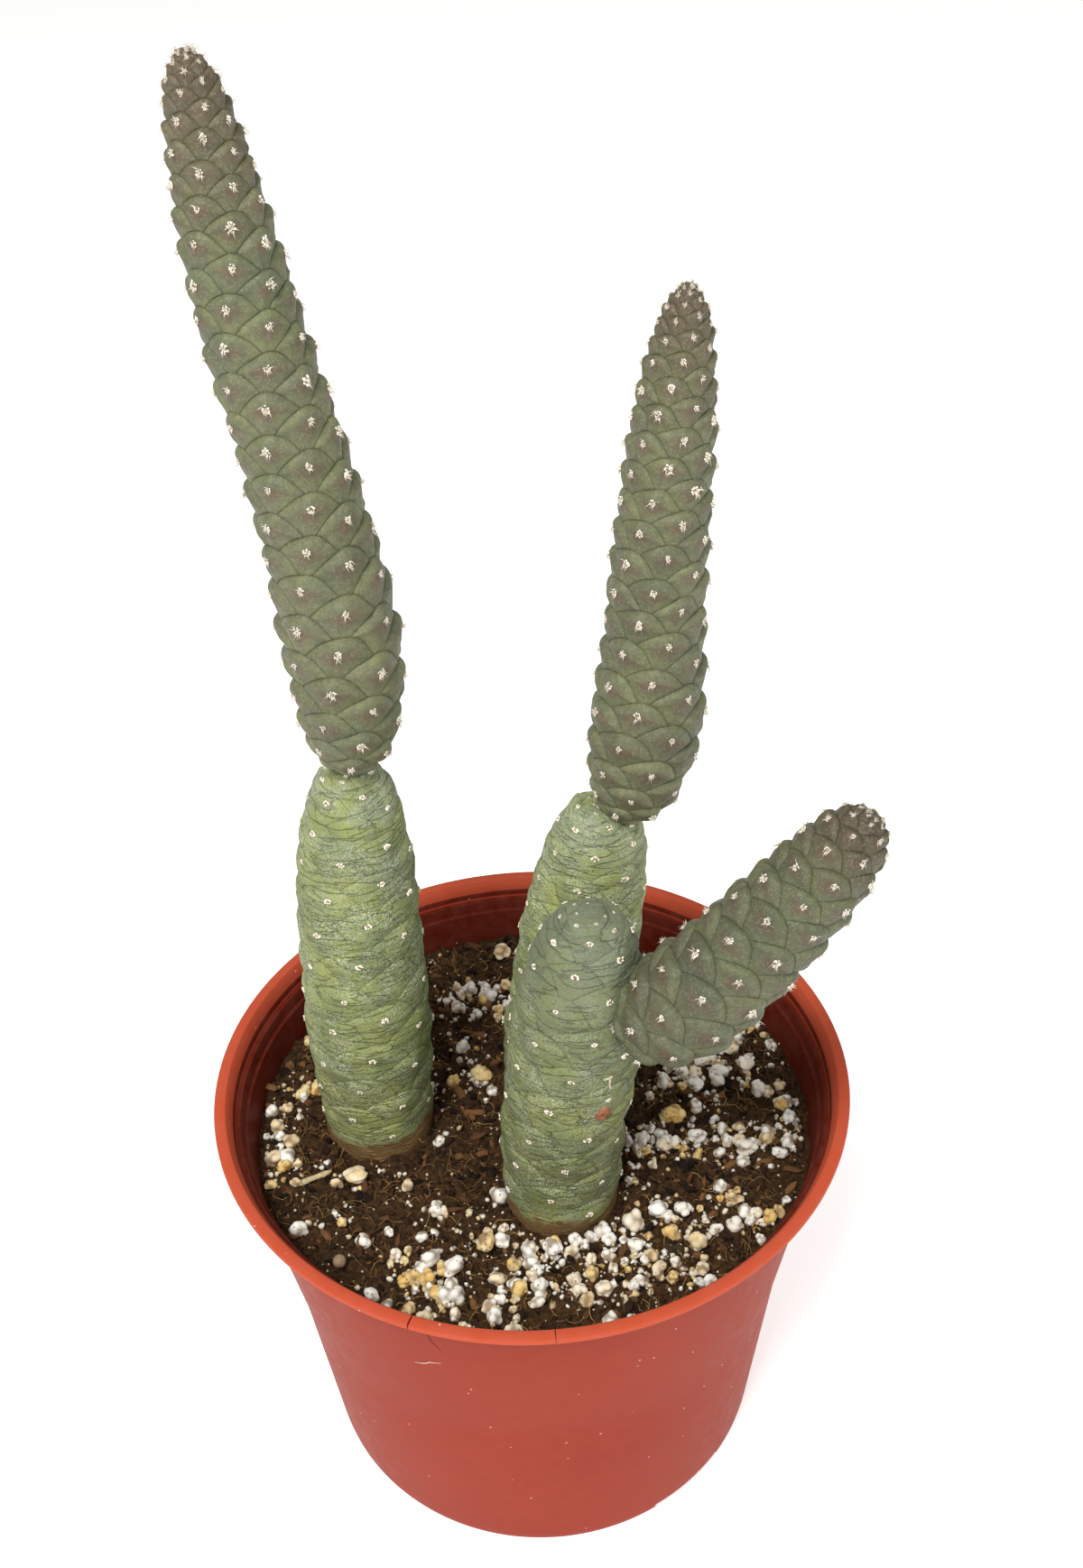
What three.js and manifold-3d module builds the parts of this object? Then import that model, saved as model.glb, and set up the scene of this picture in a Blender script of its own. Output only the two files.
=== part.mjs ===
// A potted pine cone cactus: a round nursery pot, potting soil with perlite, and three jointed plants.
// Units are millimetres, +Z is up. The origin is the centre of the pot's base, on the surface it stands on.
// The plants lean along X, and the branch reaches out to +X and a little to -Y, the pot's front.
import * as THREE from "three";
import Module from "manifold-3d";
import { mergeVertices } from "three/addons/utils/BufferGeometryUtils.js";

const wasm = await Module();
wasm.setup();

// ---- driving dimensions ----

const GAP = 0.3; // clearance between neighbouring solids
const TAU = 2 * Math.PI;

const POT = {
  height: 115,
  rimRadius: 80,
  rimFlat: 2.9, // width of the rim's flat top
  lipDrop: 1.7, // height of the lip's outer edge
  neckRadius: 75.6, // wall just under the lip
  collarHeight: 9, // the band under the lip
  shoulderRadius: 74, // wall under the band
  waistRadius: 66.1, // wall at half height
  footRadius: 60.1,
  wall: 1.3,
  recess: 2, // the underside stands this far off the table
  floor: 3.5, // top of the pot's floor
  footWidth: 5,
  padRadius: 16, // the flat button in the middle of the underside
  sides: 48,
};

const SLOT = { count: 3, first: -49.5, width: 23, height: 2.4, holeInner: 44, holeOuter: 54 };

const SOIL = { top: 98.5, unevenness: 0.8, rings: 9, sides: 40 };

// One turn from each areole to the next, and how far up it climbs, as a share of the local girth.
const GOLDEN_TURN = Math.PI * (3 - Math.sqrt(5));
const CLIMB = 0.0155;

// Outlines: [share of the length, radius in millimetres], from the base up.
const OLD_BASE = [[0, 7], [0.03, 11], [0.09, 13.2], [0.19, 14], [0.25, 14.3]];
const PLANTS = {
  leftLower: {
    axis: [[-39.6, 0.8, 78], [-39.8, 0.8, 130], [-38.4, 0.8, 180], [-36.5, 0.8, 210.4]],
    outline: [...OLD_BASE, [0.37, 15.4], [0.55, 15], [0.72, 14.2], [0.85, 12.6], [0.93, 10.2], [0.98, 6.8],
      [1, 3]],
    relief: 0.5,
    smoothBelow: 0.2,
    turn: 0.4,
  },
  leftUpper: {
    axis: [[-36.3, 0.8, 211.2], [-35.5, 0.8, 240], [-39.6, 0.8, 278], [-45.8, 0.8, 312],
      [-50.6, 0.8, 357.6]],
    outline: [[0, 5.5], [0.03, 8.2], [0.08, 10.6], [0.16, 12.2], [0.24, 12.5], [0.4, 11.2], [0.55, 10.1],
      [0.72, 9.5], [0.84, 8.2], [0.92, 6.4], [0.97, 4.2], [1, 1.5]],
    relief: 0.6,
    smoothBelow: 0,
    turn: 2.1,
  },
  middleLower: {
    axis: [[5.5, 6.6, 80], [8, 6.6, 120], [14.8, 6.6, 165], [19.6, 6.2, 194]],
    outline: [...OLD_BASE, [0.37, 14.8], [0.55, 14.6], [0.72, 14], [0.85, 12.6], [0.93, 10.4], [0.98, 7],
      [1, 3]],
    relief: 0.5,
    smoothBelow: 0.2,
    turn: 1.3,
  },
  middleUpper: {
    axis: [[23.2, 4.4, 192.2], [28.4, 6, 214], [30.8, 6.6, 254], [33, 6.6, 284], [35.6, 6.6, 313]],
    outline: [[0, 5.5], [0.04, 8.4], [0.1, 10.8], [0.2, 12.5], [0.35, 11.1], [0.5, 10.2], [0.65, 9.3],
      [0.78, 8.6], [0.87, 7], [0.94, 5], [0.98, 3], [1, 1.4]],
    relief: 0.6,
    smoothBelow: 0,
    turn: 0.2,
  },
  frontLower: {
    axis: [[6.6, -25.1, 78], [7.4, -25.1, 120], [11.4, -25.1, 155], [15, -25.1, 188]],
    outline: [...OLD_BASE, [0.4, 14.8], [0.6, 15.2], [0.76, 14.7], [0.87, 12.8], [0.95, 9.6], [0.985, 6],
      [1, 3]],
    relief: 0.5,
    smoothBelow: 0.22,
    turn: 2.9,
  },
  frontBranch: {
    axis: [[23.6, -31.8, 160.5], [34, -36.6, 171.5], [51, -39.5, 195], [69.8, -40, 222.6]],
    outline: [[0, 6], [0.04, 9], [0.1, 11.4], [0.22, 12.8], [0.45, 11.9], [0.65, 10.9], [0.8, 9.9],
      [0.9, 8.2], [0.96, 6], [0.99, 3.4], [1, 1.8]],
    relief: 0.7,
    smoothBelow: 0,
    turn: 1.7,
  },
};

// Perlite: [x, y, length, width, height, turn in degrees]. The soil carries them.
const PERLITE = [
  [45, 17, 6.3, 5, 4.2, 20], [53, 23, 5.6, 5.2, 4.4, 80], [37, 17, 5, 4.6, 3.8, 0],
  [43, 8, 5.2, 4.6, 4, 130], [36, -2, 8.4, 6.4, 5, 160], [34, -12, 6.4, 5.2, 4.2, 30],
  [42, -9.5, 5.6, 3.8, 3.4, 10], [54, -14, 6.8, 4.2, 3.6, 165], [27, -12.5, 6.6, 4, 4.2, 95],
  [66, 1, 4.8, 3.6, 3.4, 30], [62, -16, 5.2, 3.6, 3.4, 20], [57, 14, 6.6, 5, 4.4, 70],
  [49, -31, 4.6, 4.2, 3.6, 0], [57, -36, 4.4, 4, 3.6, 50], [30, -33, 5.6, 5.4, 4.4, 0],
  [36, -33, 5.4, 5, 4, 60], [4, -43, 5.4, 5.2, 4.4, 90], [24, -43, 5.4, 4.2, 4, 20],
  [32, -53, 4, 3.6, 3.4, 110], [39, -51, 4, 3.8, 3.4, 40], [16, -55, 6, 4, 3.6, 25],
  [-5, -53, 4.8, 4.2, 3.8, 15], [-12, -41.5, 5.6, 4.4, 4.4, 95], [-20, -53, 5, 3.6, 3.4, 80],
  [-31, -51, 3.6, 3.4, 3, 0], [-45, -19.5, 6.8, 5.2, 4.2, 15], [-57, 11, 5.4, 3.6, 3.4, 100],
  [-66, -20, 3.8, 3.4, 3, 0], [-8, 62, 5.8, 5.2, 4.4, 60], [-17, 47, 5.4, 4.6, 4, 80],
  [-13, 14, 6, 5.2, 4.4, 0], [14, 50, 5.6, 4.8, 4.2, 40], [-48, 38, 5.4, 4.6, 3.8, 120],
  [42, 46, 5.8, 4.6, 4, 10],
];

const SPLINTER = { from: [-59.8, -21.6], to: [-50.6, -16.4], width: 1.5, thickness: 0.9 };
const PEBBLE = { x: -46.5, y: -46, size: 3.4 };
const BARK = { x: 33.5, y: -44.5, length: 5.2, width: 3.4, thickness: 1.2, turn: 20 };

const COLOUR = {
  pot: 0xb4553f,
  soil: 0x3b2a1e,
  lower: 0x7d9462,
  upper: 0x5f6b54,
  perlite: 0xe9e3cf,
  wood: 0xc6b48e,
  pebble: 0x8a7158,
  bark: 0x2c2a20,
};

// ---- helpers ----

// A smooth value between -1 and 1 that never repeats closely, for natural unevenness.
function wobble(x, y, seed) {
  return (
    (Math.sin(0.11 * x + 1.7 * seed) * Math.cos(0.13 * y - seed) +
      Math.sin(0.23 * x - 0.19 * y + 2.3 * seed) +
      Math.cos(0.31 * y + 0.07 * x + seed)) / 3
  );
}

function soilHeight(x, y) {
  return SOIL.top + SOIL.unevenness * wobble(x, y, 0.8);
}

function closedGeometry(positions, indices) {
  const geometry = new THREE.BufferGeometry();
  geometry.setAttribute("position", new THREE.Float32BufferAttribute(positions, 3));
  geometry.setIndex(indices);
  geometry.computeVertexNormals();
  return geometry;
}

function toSolid(geometry) {
  const bare = geometry.clone();
  bare.deleteAttribute("normal");
  bare.deleteAttribute("uv");
  const merged = mergeVertices(bare, 1e-4);
  return new wasm.Manifold(
    new wasm.Mesh({
      numProp: 3,
      vertProperties: new Float32Array(merged.attributes.position.array),
      triVerts: new Uint32Array(merged.index.array),
    }),
  );
}

function fromSolid(solid) {
  const mesh = solid.getMesh();
  return closedGeometry(Array.from(mesh.vertProperties), Array.from(mesh.triVerts));
}

function cut(geometry, ...cutters) {
  return fromSolid(cutters.reduce((solid, cutter) => solid.subtract(toSolid(cutter)), toSolid(geometry)));
}

// ---- the pot ----

// Radius of the outer wall at height z, below the lip.
function wallRadius(z) {
  const half = POT.height / 2;
  const bandFoot = POT.height - POT.collarHeight;
  if (z > bandFoot) {
    const share = (z - bandFoot) / (POT.collarHeight - POT.lipDrop);
    return THREE.MathUtils.lerp(POT.shoulderRadius + 0.5, POT.neckRadius, Math.min(share, 1));
  }
  if (z > half) {
    return THREE.MathUtils.lerp(POT.waistRadius, POT.shoulderRadius, (z - half) / (bandFoot - half));
  }
  return THREE.MathUtils.lerp(POT.footRadius, POT.waistRadius, z / half);
}

function innerRadius(z) {
  return wallRadius(z) - POT.wall;
}

function potGeometry() {
  const top = POT.height;
  const bandFoot = top - POT.collarHeight;
  const footInner = POT.footRadius - POT.footWidth;
  const half = top / 2;
  const profile = [
    [0, 0],
    [POT.padRadius, 0],
    [POT.padRadius + 1, POT.recess],
    [footInner - 0.6, POT.recess],
    [footInner, 0],
    [POT.footRadius - 0.9, 0],
    [POT.footRadius, 1],
    [POT.waistRadius, half],
    [POT.shoulderRadius, bandFoot],
    [POT.shoulderRadius + 0.5, bandFoot + 0.6],
    [POT.neckRadius, top - POT.lipDrop - 1.4],
    [POT.rimRadius - 0.4, top - POT.lipDrop],
    [POT.rimRadius, top - POT.lipDrop + 0.3],
    [POT.rimRadius, top - 0.3],
    [POT.rimRadius - 0.3, top],
    [POT.rimRadius - POT.rimFlat, top],
    [POT.rimRadius - POT.rimFlat - 0.9, top - 0.9],
    [innerRadius(top - 5) + 0.8, top - 5.2],
    [innerRadius(top - 5) - 0.1, top - 5.7],
    [innerRadius(bandFoot) + 0.2, bandFoot + 0.8],
    [innerRadius(bandFoot) - 0.4, bandFoot],
    [POT.waistRadius - POT.wall, half],
    [wallRadius(POT.floor) - POT.wall - 1, POT.floor + 1],
    [wallRadius(POT.floor) - POT.wall - 2, POT.floor],
    [0, POT.floor],
  ];
  const lathe = new THREE.LatheGeometry(profile.map(([r, z]) => new THREE.Vector2(r, z)), POT.sides);
  lathe.rotateX(Math.PI / 2);
  return cut(lathe, ...drainCutters());
}

// A block that covers one sector of a ring.
function ringSector(inner, outer, fromZ, toZ, midAngle, width) {
  const start = THREE.MathUtils.degToRad(midAngle - width / 2);
  const end = THREE.MathUtils.degToRad(midAngle + width / 2);
  const shape = new THREE.Shape();
  shape.absarc(0, 0, outer, start, end, false);
  shape.absarc(0, 0, inner, end, start, true);
  const options = { depth: toZ - fromZ, bevelEnabled: false, curveSegments: 3 };
  const block = new THREE.ExtrudeGeometry(shape, options);
  block.translate(0, 0, fromZ);
  return block;
}

// Each drain is a low slot through the foot and a hole through the floor beside it.
function drainCutters() {
  const cutters = [];
  for (let i = 0; i < SLOT.count; i++) {
    const angle = SLOT.first + (360 / SLOT.count) * i;
    cutters.push(ringSector(SLOT.holeOuter - 2, POT.footRadius + 4, -1, SLOT.height, angle, SLOT.width));
    cutters.push(ringSector(SLOT.holeInner, SLOT.holeOuter, 0.5, POT.floor + 1, angle, SLOT.width - 4));
  }
  return cutters;
}

// ---- the soil ----

function soilGeometry(stems) {
  const positions = [];
  const indices = [];
  const { rings, sides } = SOIL;
  const bottom = POT.floor + GAP;
  const edgeRadius = innerRadius(SOIL.top + 1) - GAP - 0.5;
  positions.push(0, 0, soilHeight(0, 0));
  for (let ring = 1; ring <= rings; ring++) {
    for (let side = 0; side < sides; side++) {
      const angle = (side / sides) * TAU;
      const radius = (ring / rings) * edgeRadius;
      const x = radius * Math.cos(angle);
      const y = radius * Math.sin(angle);
      positions.push(x, y, soilHeight(x, y));
    }
  }
  const wallRings = [
    [innerRadius(POT.height / 2) - GAP - 0.3, POT.height / 2],
    [wallRadius(POT.floor) - POT.wall - 2 - GAP, bottom + 1],
    [wallRadius(POT.floor) - POT.wall - 3 - GAP, bottom],
  ];
  for (const [radius, z] of wallRings) {
    for (let side = 0; side < sides; side++) {
      const angle = (side / sides) * TAU;
      positions.push(radius * Math.cos(angle), radius * Math.sin(angle), z);
    }
  }
  positions.push(0, 0, bottom);
  const last = positions.length / 3 - 1;
  const at = (ring, side) => 1 + (ring - 1) * sides + (side % sides);
  const allRings = rings + wallRings.length;
  for (let side = 0; side < sides; side++) {
    indices.push(0, at(1, side), at(1, side + 1));
    for (let ring = 1; ring < allRings; ring++) {
      indices.push(at(ring, side), at(ring + 1, side), at(ring + 1, side + 1));
      indices.push(at(ring, side), at(ring + 1, side + 1), at(ring, side + 1));
    }
    indices.push(last, at(allRings, side + 1), at(allRings, side));
  }
  return cut(closedGeometry(positions, indices), ...stems);
}

// ---- the plants ----

// The stem's surface point at a share of its length and an angle round it, pushed out to a radius.
function stemPoint(axis, share, angle, radius) {
  const centre = axis.getPointAt(share);
  const along = axis.getTangentAt(share);
  const across = new THREE.Vector3(1, 0, 0).addScaledVector(along, -along.x).normalize();
  const beside = new THREE.Vector3().crossVectors(along, across);
  return centre
    .addScaledVector(across, radius * Math.cos(angle))
    .addScaledVector(beside, radius * Math.sin(angle));
}

// Steps along the outline so that each step is the same share of the local girth.
function evenSteps(outline, length) {
  const knots = outline.map(([share, r]) => new THREE.Vector3(share * length, r, 0));
  const curve = new THREE.CatmullRomCurve3(knots);
  const fine = 1500;
  const steps = [];
  let climbed = 0;
  let previous = curve.getPoint(0);
  for (let i = 0; i <= fine; i++) {
    const point = curve.getPoint(i / fine);
    climbed += point.distanceTo(previous) / point.y;
    previous = point;
    if (climbed >= steps.length * CLIMB * TAU) {
      steps.push({ share: THREE.MathUtils.clamp(point.x / length, 0, 1), radius: point.y });
    }
  }
  return steps;
}

// The angle round the stem, the short way, from an areole to the one that comes the given steps later.
function sideways(steps) {
  return steps * GOLDEN_TURN - TAU * Math.round((steps * GOLDEN_TURN) / TAU);
}

// A jointed cactus segment. Areoles follow one another by the golden turn, so each has neighbours
// 3, 5 and 8 places on. Areoles are peaks and the middle of each triangle between them is a valley.
function segmentGeometry(plant, swell = 0) {
  const axis = new THREE.CatmullRomCurve3(plant.axis.map((p) => new THREE.Vector3(...p)));
  const steps = evenSteps(plant.outline, axis.getLength());
  const positions = [];
  const indices = [];
  const peaks = steps.length;
  const { smoothBelow } = plant;
  const relief = (share) => plant.relief * THREE.MathUtils.smoothstep(share, smoothBelow, smoothBelow + 0.1);
  const addPoint = (share, angle, radius) => {
    positions.push(...stemPoint(axis, share, angle, radius).toArray());
    return positions.length / 3 - 1;
  };
  steps.forEach(({ share, radius }, n) => {
    addPoint(share, plant.turn + n * GOLDEN_TURN, radius + relief(share) + swell);
  });
  const addTriangle = (n, stepB, stepC) => {
    const corners = [n, n + stepB, n + stepC];
    const share = corners.reduce((sum, k) => sum + steps[k].share, 0) / 3;
    const radius = corners.reduce((sum, k) => sum + steps[k].radius, 0) / 3;
    const angle = plant.turn + n * GOLDEN_TURN + (sideways(stepB) + sideways(stepC)) / 3;
    const valley = addPoint(share, angle, radius - relief(share) + swell);
    for (let k = 0; k < 3; k++) {
      indices.push(corners[k], corners[(k + 1) % 3], valley);
    }
  };
  for (let n = 0; n + 8 < peaks; n++) {
    addTriangle(n, 3, 8);
    addTriangle(n, 8, 5);
  }
  const base = positions.length / 3;
  positions.push(...axis.getPointAt(0).addScaledVector(axis.getTangentAt(0), -swell).toArray());
  const tip = base + 1;
  positions.push(...axis.getPointAt(1).addScaledVector(axis.getTangentAt(1), 0.4 + swell).toArray());
  for (let n = 0; n < 5; n++) {
    indices.push(base, n + 3, n);
  }
  for (let n = 0; n < 3; n++) {
    indices.push(base, n, n + 5);
  }
  for (let n = peaks - 8; n < peaks - 3; n++) {
    indices.push(tip, n, n + 3);
  }
  for (let n = peaks - 8; n < peaks - 5; n++) {
    indices.push(tip, n + 5, n);
  }
  return closedGeometry(positions, indices);
}

// ---- what lies on the soil ----

// The height at which a lump of the given size clears the soil.
function restingHeight(x, y, reach) {
  let highest = soilHeight(x, y);
  for (let i = 0; i < 8; i++) {
    const angle = (i / 8) * TAU;
    highest = Math.max(highest, soilHeight(x + reach * Math.cos(angle), y + reach * Math.sin(angle)));
  }
  return highest + 0.1;
}

// A knobbly lump: an octahedron cut once finer, with each corner moved in or out.
function lumpGeometry(length, width, height, knobbly, seed) {
  const lump = new THREE.OctahedronGeometry(1, 1);
  const corners = lump.attributes.position;
  for (let i = 0; i < corners.count; i++) {
    const corner = new THREE.Vector3().fromBufferAttribute(corners, i).normalize();
    const bump = wobble(31 * corner.x + seed, 27 * corner.y - 9 * corner.z, seed);
    const reach = (1 - knobbly * (0.5 + 0.5 * bump)) / 2;
    corners.setXYZ(i, corner.x * reach * length, corner.y * reach * width, corner.z * reach * height);
  }
  lump.deleteAttribute("normal");
  lump.deleteAttribute("uv");
  return mergeVertices(lump, 1e-4);
}

function addLump(group, name, colour, [x, y, length, width, height, turn], knobbly, seed) {
  const lump = addMesh(group, name, lumpGeometry(length, width, height, knobbly, seed), colour, 0.95);
  lump.position.set(x, y, restingHeight(x, y, length / 2) + height / 2);
  lump.rotation.z = THREE.MathUtils.degToRad(turn);
}

function splinterGeometry(length) {
  const shape = new THREE.Shape();
  const half = SPLINTER.width / 2;
  shape.moveTo(-length / 2, -half * 0.3);
  shape.lineTo(length / 2 - 1.5, -half);
  shape.lineTo(length / 2, half * 0.2);
  shape.lineTo(length / 2 - 1, half);
  shape.lineTo(-length / 2 + 2, half * 0.8);
  return new THREE.ExtrudeGeometry(shape, { depth: SPLINTER.thickness, bevelEnabled: false });
}

// ---- the assembly ----

function addMesh(group, name, geometry, colour, roughness) {
  geometry.computeVertexNormals();
  const material = new THREE.MeshStandardMaterial({ color: colour, roughness, metalness: 0 });
  const mesh = new THREE.Mesh(geometry, material);
  mesh.name = name;
  group.add(mesh);
  return mesh;
}

// A segment that grows from another is hollowed where it sits against it.
function grownFrom(plant, parent) {
  return cut(segmentGeometry(plant), segmentGeometry(parent, GAP));
}

function addPlants(group) {
  const { leftLower, leftUpper, middleLower, middleUpper, frontLower, frontBranch } = PLANTS;
  addMesh(group, "left_lower_segment", segmentGeometry(leftLower), COLOUR.lower, 0.75);
  addMesh(group, "left_upper_segment", grownFrom(leftUpper, leftLower), COLOUR.upper, 0.65);
  addMesh(group, "middle_lower_segment", segmentGeometry(middleLower), COLOUR.lower, 0.75);
  addMesh(group, "middle_upper_segment", grownFrom(middleUpper, middleLower), COLOUR.upper, 0.65);
  addMesh(group, "front_lower_segment", segmentGeometry(frontLower), COLOUR.lower, 0.75);
  addMesh(group, "front_branch_segment", grownFrom(frontBranch, frontLower), COLOUR.upper, 0.65);
}

function addSoilTrim(group) {
  PERLITE.forEach((grain, i) => {
    addLump(group, `perlite_${String(i + 1).padStart(2, "0")}`, COLOUR.perlite, grain, 0.3, 1 + 0.7 * i);
  });
  const { size } = PEBBLE;
  addLump(group, "pebble", COLOUR.pebble, [PEBBLE.x, PEBBLE.y, size, size, size, 0], 0.08, 3);
  const { x, y, length, width, thickness, turn } = BARK;
  addLump(group, "bark_flake", COLOUR.bark, [x, y, length, width, thickness, turn], 0.3, 5);
  const from = new THREE.Vector2(...SPLINTER.from);
  const to = new THREE.Vector2(...SPLINTER.to);
  const run = to.clone().sub(from);
  const splinter = addMesh(group, "wood_splinter", splinterGeometry(run.length()), COLOUR.wood, 0.85);
  const middle = from.add(to).multiplyScalar(0.5);
  splinter.position.set(middle.x, middle.y, restingHeight(middle.x, middle.y, run.length() / 2));
  splinter.rotation.z = run.angle();
}

function pottedCactus() {
  const group = new THREE.Group();
  addMesh(group, "pot", potGeometry(), COLOUR.pot, 0.55);
  const roots = [PLANTS.leftLower, PLANTS.middleLower, PLANTS.frontLower];
  addMesh(group, "soil", soilGeometry(roots.map((plant) => segmentGeometry(plant, GAP))), COLOUR.soil, 0.95);
  addPlants(group);
  addSoilTrim(group);
  return group;
}

export default pottedCactus();
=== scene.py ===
"""Looks for the potted pine cone cactus: three jointed plants, potting soil with perlite, a nursery pot.

Shapes are worked out in millimetres from the frame's boxes and turned into metres when a mesh is made.
"""
import math

import bmesh
import bpy
import numpy as np
from mathutils import Matrix, Vector
from mathutils.bvhtree import BVHTree


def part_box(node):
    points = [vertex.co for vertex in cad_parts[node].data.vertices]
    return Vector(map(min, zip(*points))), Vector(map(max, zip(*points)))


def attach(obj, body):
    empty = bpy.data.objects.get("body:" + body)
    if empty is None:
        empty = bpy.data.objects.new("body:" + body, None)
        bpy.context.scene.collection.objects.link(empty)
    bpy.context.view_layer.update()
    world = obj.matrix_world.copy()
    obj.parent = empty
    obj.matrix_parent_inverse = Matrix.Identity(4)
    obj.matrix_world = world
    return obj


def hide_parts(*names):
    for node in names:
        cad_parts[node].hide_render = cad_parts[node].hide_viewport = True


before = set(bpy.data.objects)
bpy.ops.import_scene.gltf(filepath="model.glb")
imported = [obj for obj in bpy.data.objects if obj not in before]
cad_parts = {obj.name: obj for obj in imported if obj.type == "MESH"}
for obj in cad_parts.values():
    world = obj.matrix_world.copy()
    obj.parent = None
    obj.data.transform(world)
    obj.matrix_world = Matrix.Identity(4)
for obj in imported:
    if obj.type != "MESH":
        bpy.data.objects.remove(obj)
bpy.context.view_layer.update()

MM = 0.001
TAU = 2 * math.pi
TURN = 2.386  # from one areole to the next round the stem, a little under the golden angle


# ---------------------------------------------------------------- measures from the frame

def box_mm(node):
    low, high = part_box(node)
    return np.array(low) / MM, np.array(high) / MM


POT_LOW, POT_HIGH = box_mm("pot")
POT_CENTRE = (POT_LOW + POT_HIGH)[:2] / 2
RIM_RADIUS = (POT_HIGH[0] - POT_LOW[0]) / 2
POT_TOP = POT_HIGH[2]
SOIL_LOW, SOIL_HIGH = box_mm("soil")
SOIL_RADIUS = (SOIL_HIGH[0] - SOIL_LOW[0]) / 2 + 0.9
SOIL_LEVEL = SOIL_HIGH[2] - 0.7

# Each segment: its line as (share of the node's height, offset from the middle of its box in X and Y),
# and its outline as (share of its length, radius).
ROOTED = [(0, 8), (0.03, 11), (0.09, 13.2), (0.19, 14), (0.25, 14.3)]
SEGMENTS = {
    "left_lower_segment": {
        "line": [(0, 0.2, 0), (0.39, 0, 0), (0.77, 1.4, 0), (1, 3.3, 0)],
        "outline": ROOTED + [(0.37, 15.3), (0.55, 14.9), (0.72, 14.1), (0.85, 12.6), (0.93, 10.4),
                             (0.98, 7.2), (1, 2.4)],
        "turn": 0.4,
        "bright": 0.99,
        "dusk": 0.0,
        "old": True,
    },
    "left_upper_segment": {
        "line": [(0, 3.5, 0), (0.196, 4.3, 0), (0.455, 0.2, 0), (0.687, -6, 0), (1, -10.8, 0)],
        "outline": [(0, 4.5), (0.03, 8.4), (0.08, 10.6), (0.16, 12.2), (0.24, 12.4), (0.4, 11.2),
                    (0.55, 10.2), (0.72, 9.4), (0.84, 8), (0.92, 6.3), (0.97, 4.4), (1, 1.3)],
        "turn": 2.1,
        "bright": 0.81,
        "old": False,
    },
    "middle_lower_segment": {
        "line": [(0, -5.6, 0), (0.35, -3.1, 0), (0.74, 3.7, 0), (1, 8.5, -0.5)],
        "outline": ROOTED + [(0.37, 14.7), (0.55, 14.6), (0.72, 14), (0.85, 12.6), (0.93, 10.6),
                             (0.98, 7.4), (1, 2.4)],
        "turn": 1.3,
        "bright": 1.06,
        "dusk": 0.0,
        "old": True,
    },
    "middle_upper_segment": {
        "line": [(0.01, -5.6, -1.7), (0.19, -0.4, 0), (0.515, 2, 0.5), (0.76, 4.2, 0.5), (1, 6.8, 0.5)],
        "outline": [(0, 4.5), (0.04, 8.6), (0.1, 10.9), (0.2, 12.4), (0.35, 11.1), (0.5, 10.2),
                    (0.65, 9.3), (0.78, 8.4), (0.87, 7), (0.94, 5.2), (0.98, 3.2), (1, 1.2)],
        "turn": 0.2,
        "bright": 0.77,
        "old": False,
    },
    "front_lower_segment": {
        "line": [(0, -3.1, 0), (0.38, -2.3, 0), (0.7, 1.7, 0), (1, 5.3, 0)],
        "outline": ROOTED + [(0.4, 14.8), (0.6, 15.1), (0.76, 14.6), (0.87, 12.8), (0.95, 9.8),
                             (0.985, 6.6), (1, 2.6)],
        "turn": 2.9,
        "bright": 0.80,
        "dusk": 0.5,
        "old": True,
    },
    "front_branch_segment": {
        "line": [(0.064, -22.6, 5.5), (0.226, -12.2, 0.7), (0.571, 4.8, -2.2), (0.985, 23.6, -2.7)],
        "outline": [(0, 5), (0.04, 9.2), (0.1, 11.4), (0.22, 12.6), (0.45, 11.8), (0.65, 10.8),
                    (0.8, 9.6), (0.9, 8), (0.96, 6), (0.99, 3.8), (1, 1.5)],
        "turn": 1.7,
        "bright": 0.63,
        "old": False,
    },
}
CLIMB_OLD = 0.0152  # climb from one areole to the next, as a share of the girth
CLIMB_YOUNG = 0.0150


# ---------------------------------------------------------------- numbers with no pattern

def scatter(seed):
    return np.random.default_rng(seed)


LATTICE_FACTORS = np.array([374761393, 668265263, 1274126177])


def lattice_value(cell, seed):
    """A value from 0 to 1 for each whole-number point, from products that wrap round."""
    with np.errstate(over="ignore"):
        mixed = cell @ LATTICE_FACTORS + seed * 982451653
        mixed = (mixed ^ (mixed >> 13)) * LATTICE_FACTORS[2]
    return ((mixed ^ (mixed >> 16)) & 0xFFFF) / 0xFFFF


def uneven(points, size, seed=0):
    """Smooth unevenness from -1 to 1, with lumps about `size` across."""
    spot = np.asarray(points, dtype=float) / size
    cell = np.floor(spot).astype(np.int64)
    part = spot - cell
    part = part * part * (3 - 2 * part)
    total = np.zeros(spot.shape[:-1])
    for corner in range(8):
        step = np.array([corner & 1, (corner >> 1) & 1, (corner >> 2) & 1])
        weight = np.prod(np.where(step, part, 1 - part), axis=-1)
        total += weight * lattice_value(cell + step, seed)
    return 2 * total - 1


def rough(points, size, seed):
    """Unevenness from about -1 to 1 at three sizes at once, each half the one before."""
    return sum(uneven(points, size / 2**k, seed + k) / 2**k for k in range(3)) / 1.6


# ---------------------------------------------------------------- making objects

def write_marks(mesh, marks):
    """Named values on a mesh, one per point, for its material to read."""
    for mark, values in marks.items():
        layer = mesh.attributes.new(mark, "FLOAT", "POINT")
        layer.data.foreach_set("value", np.asarray(values, dtype=np.float32))


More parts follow.
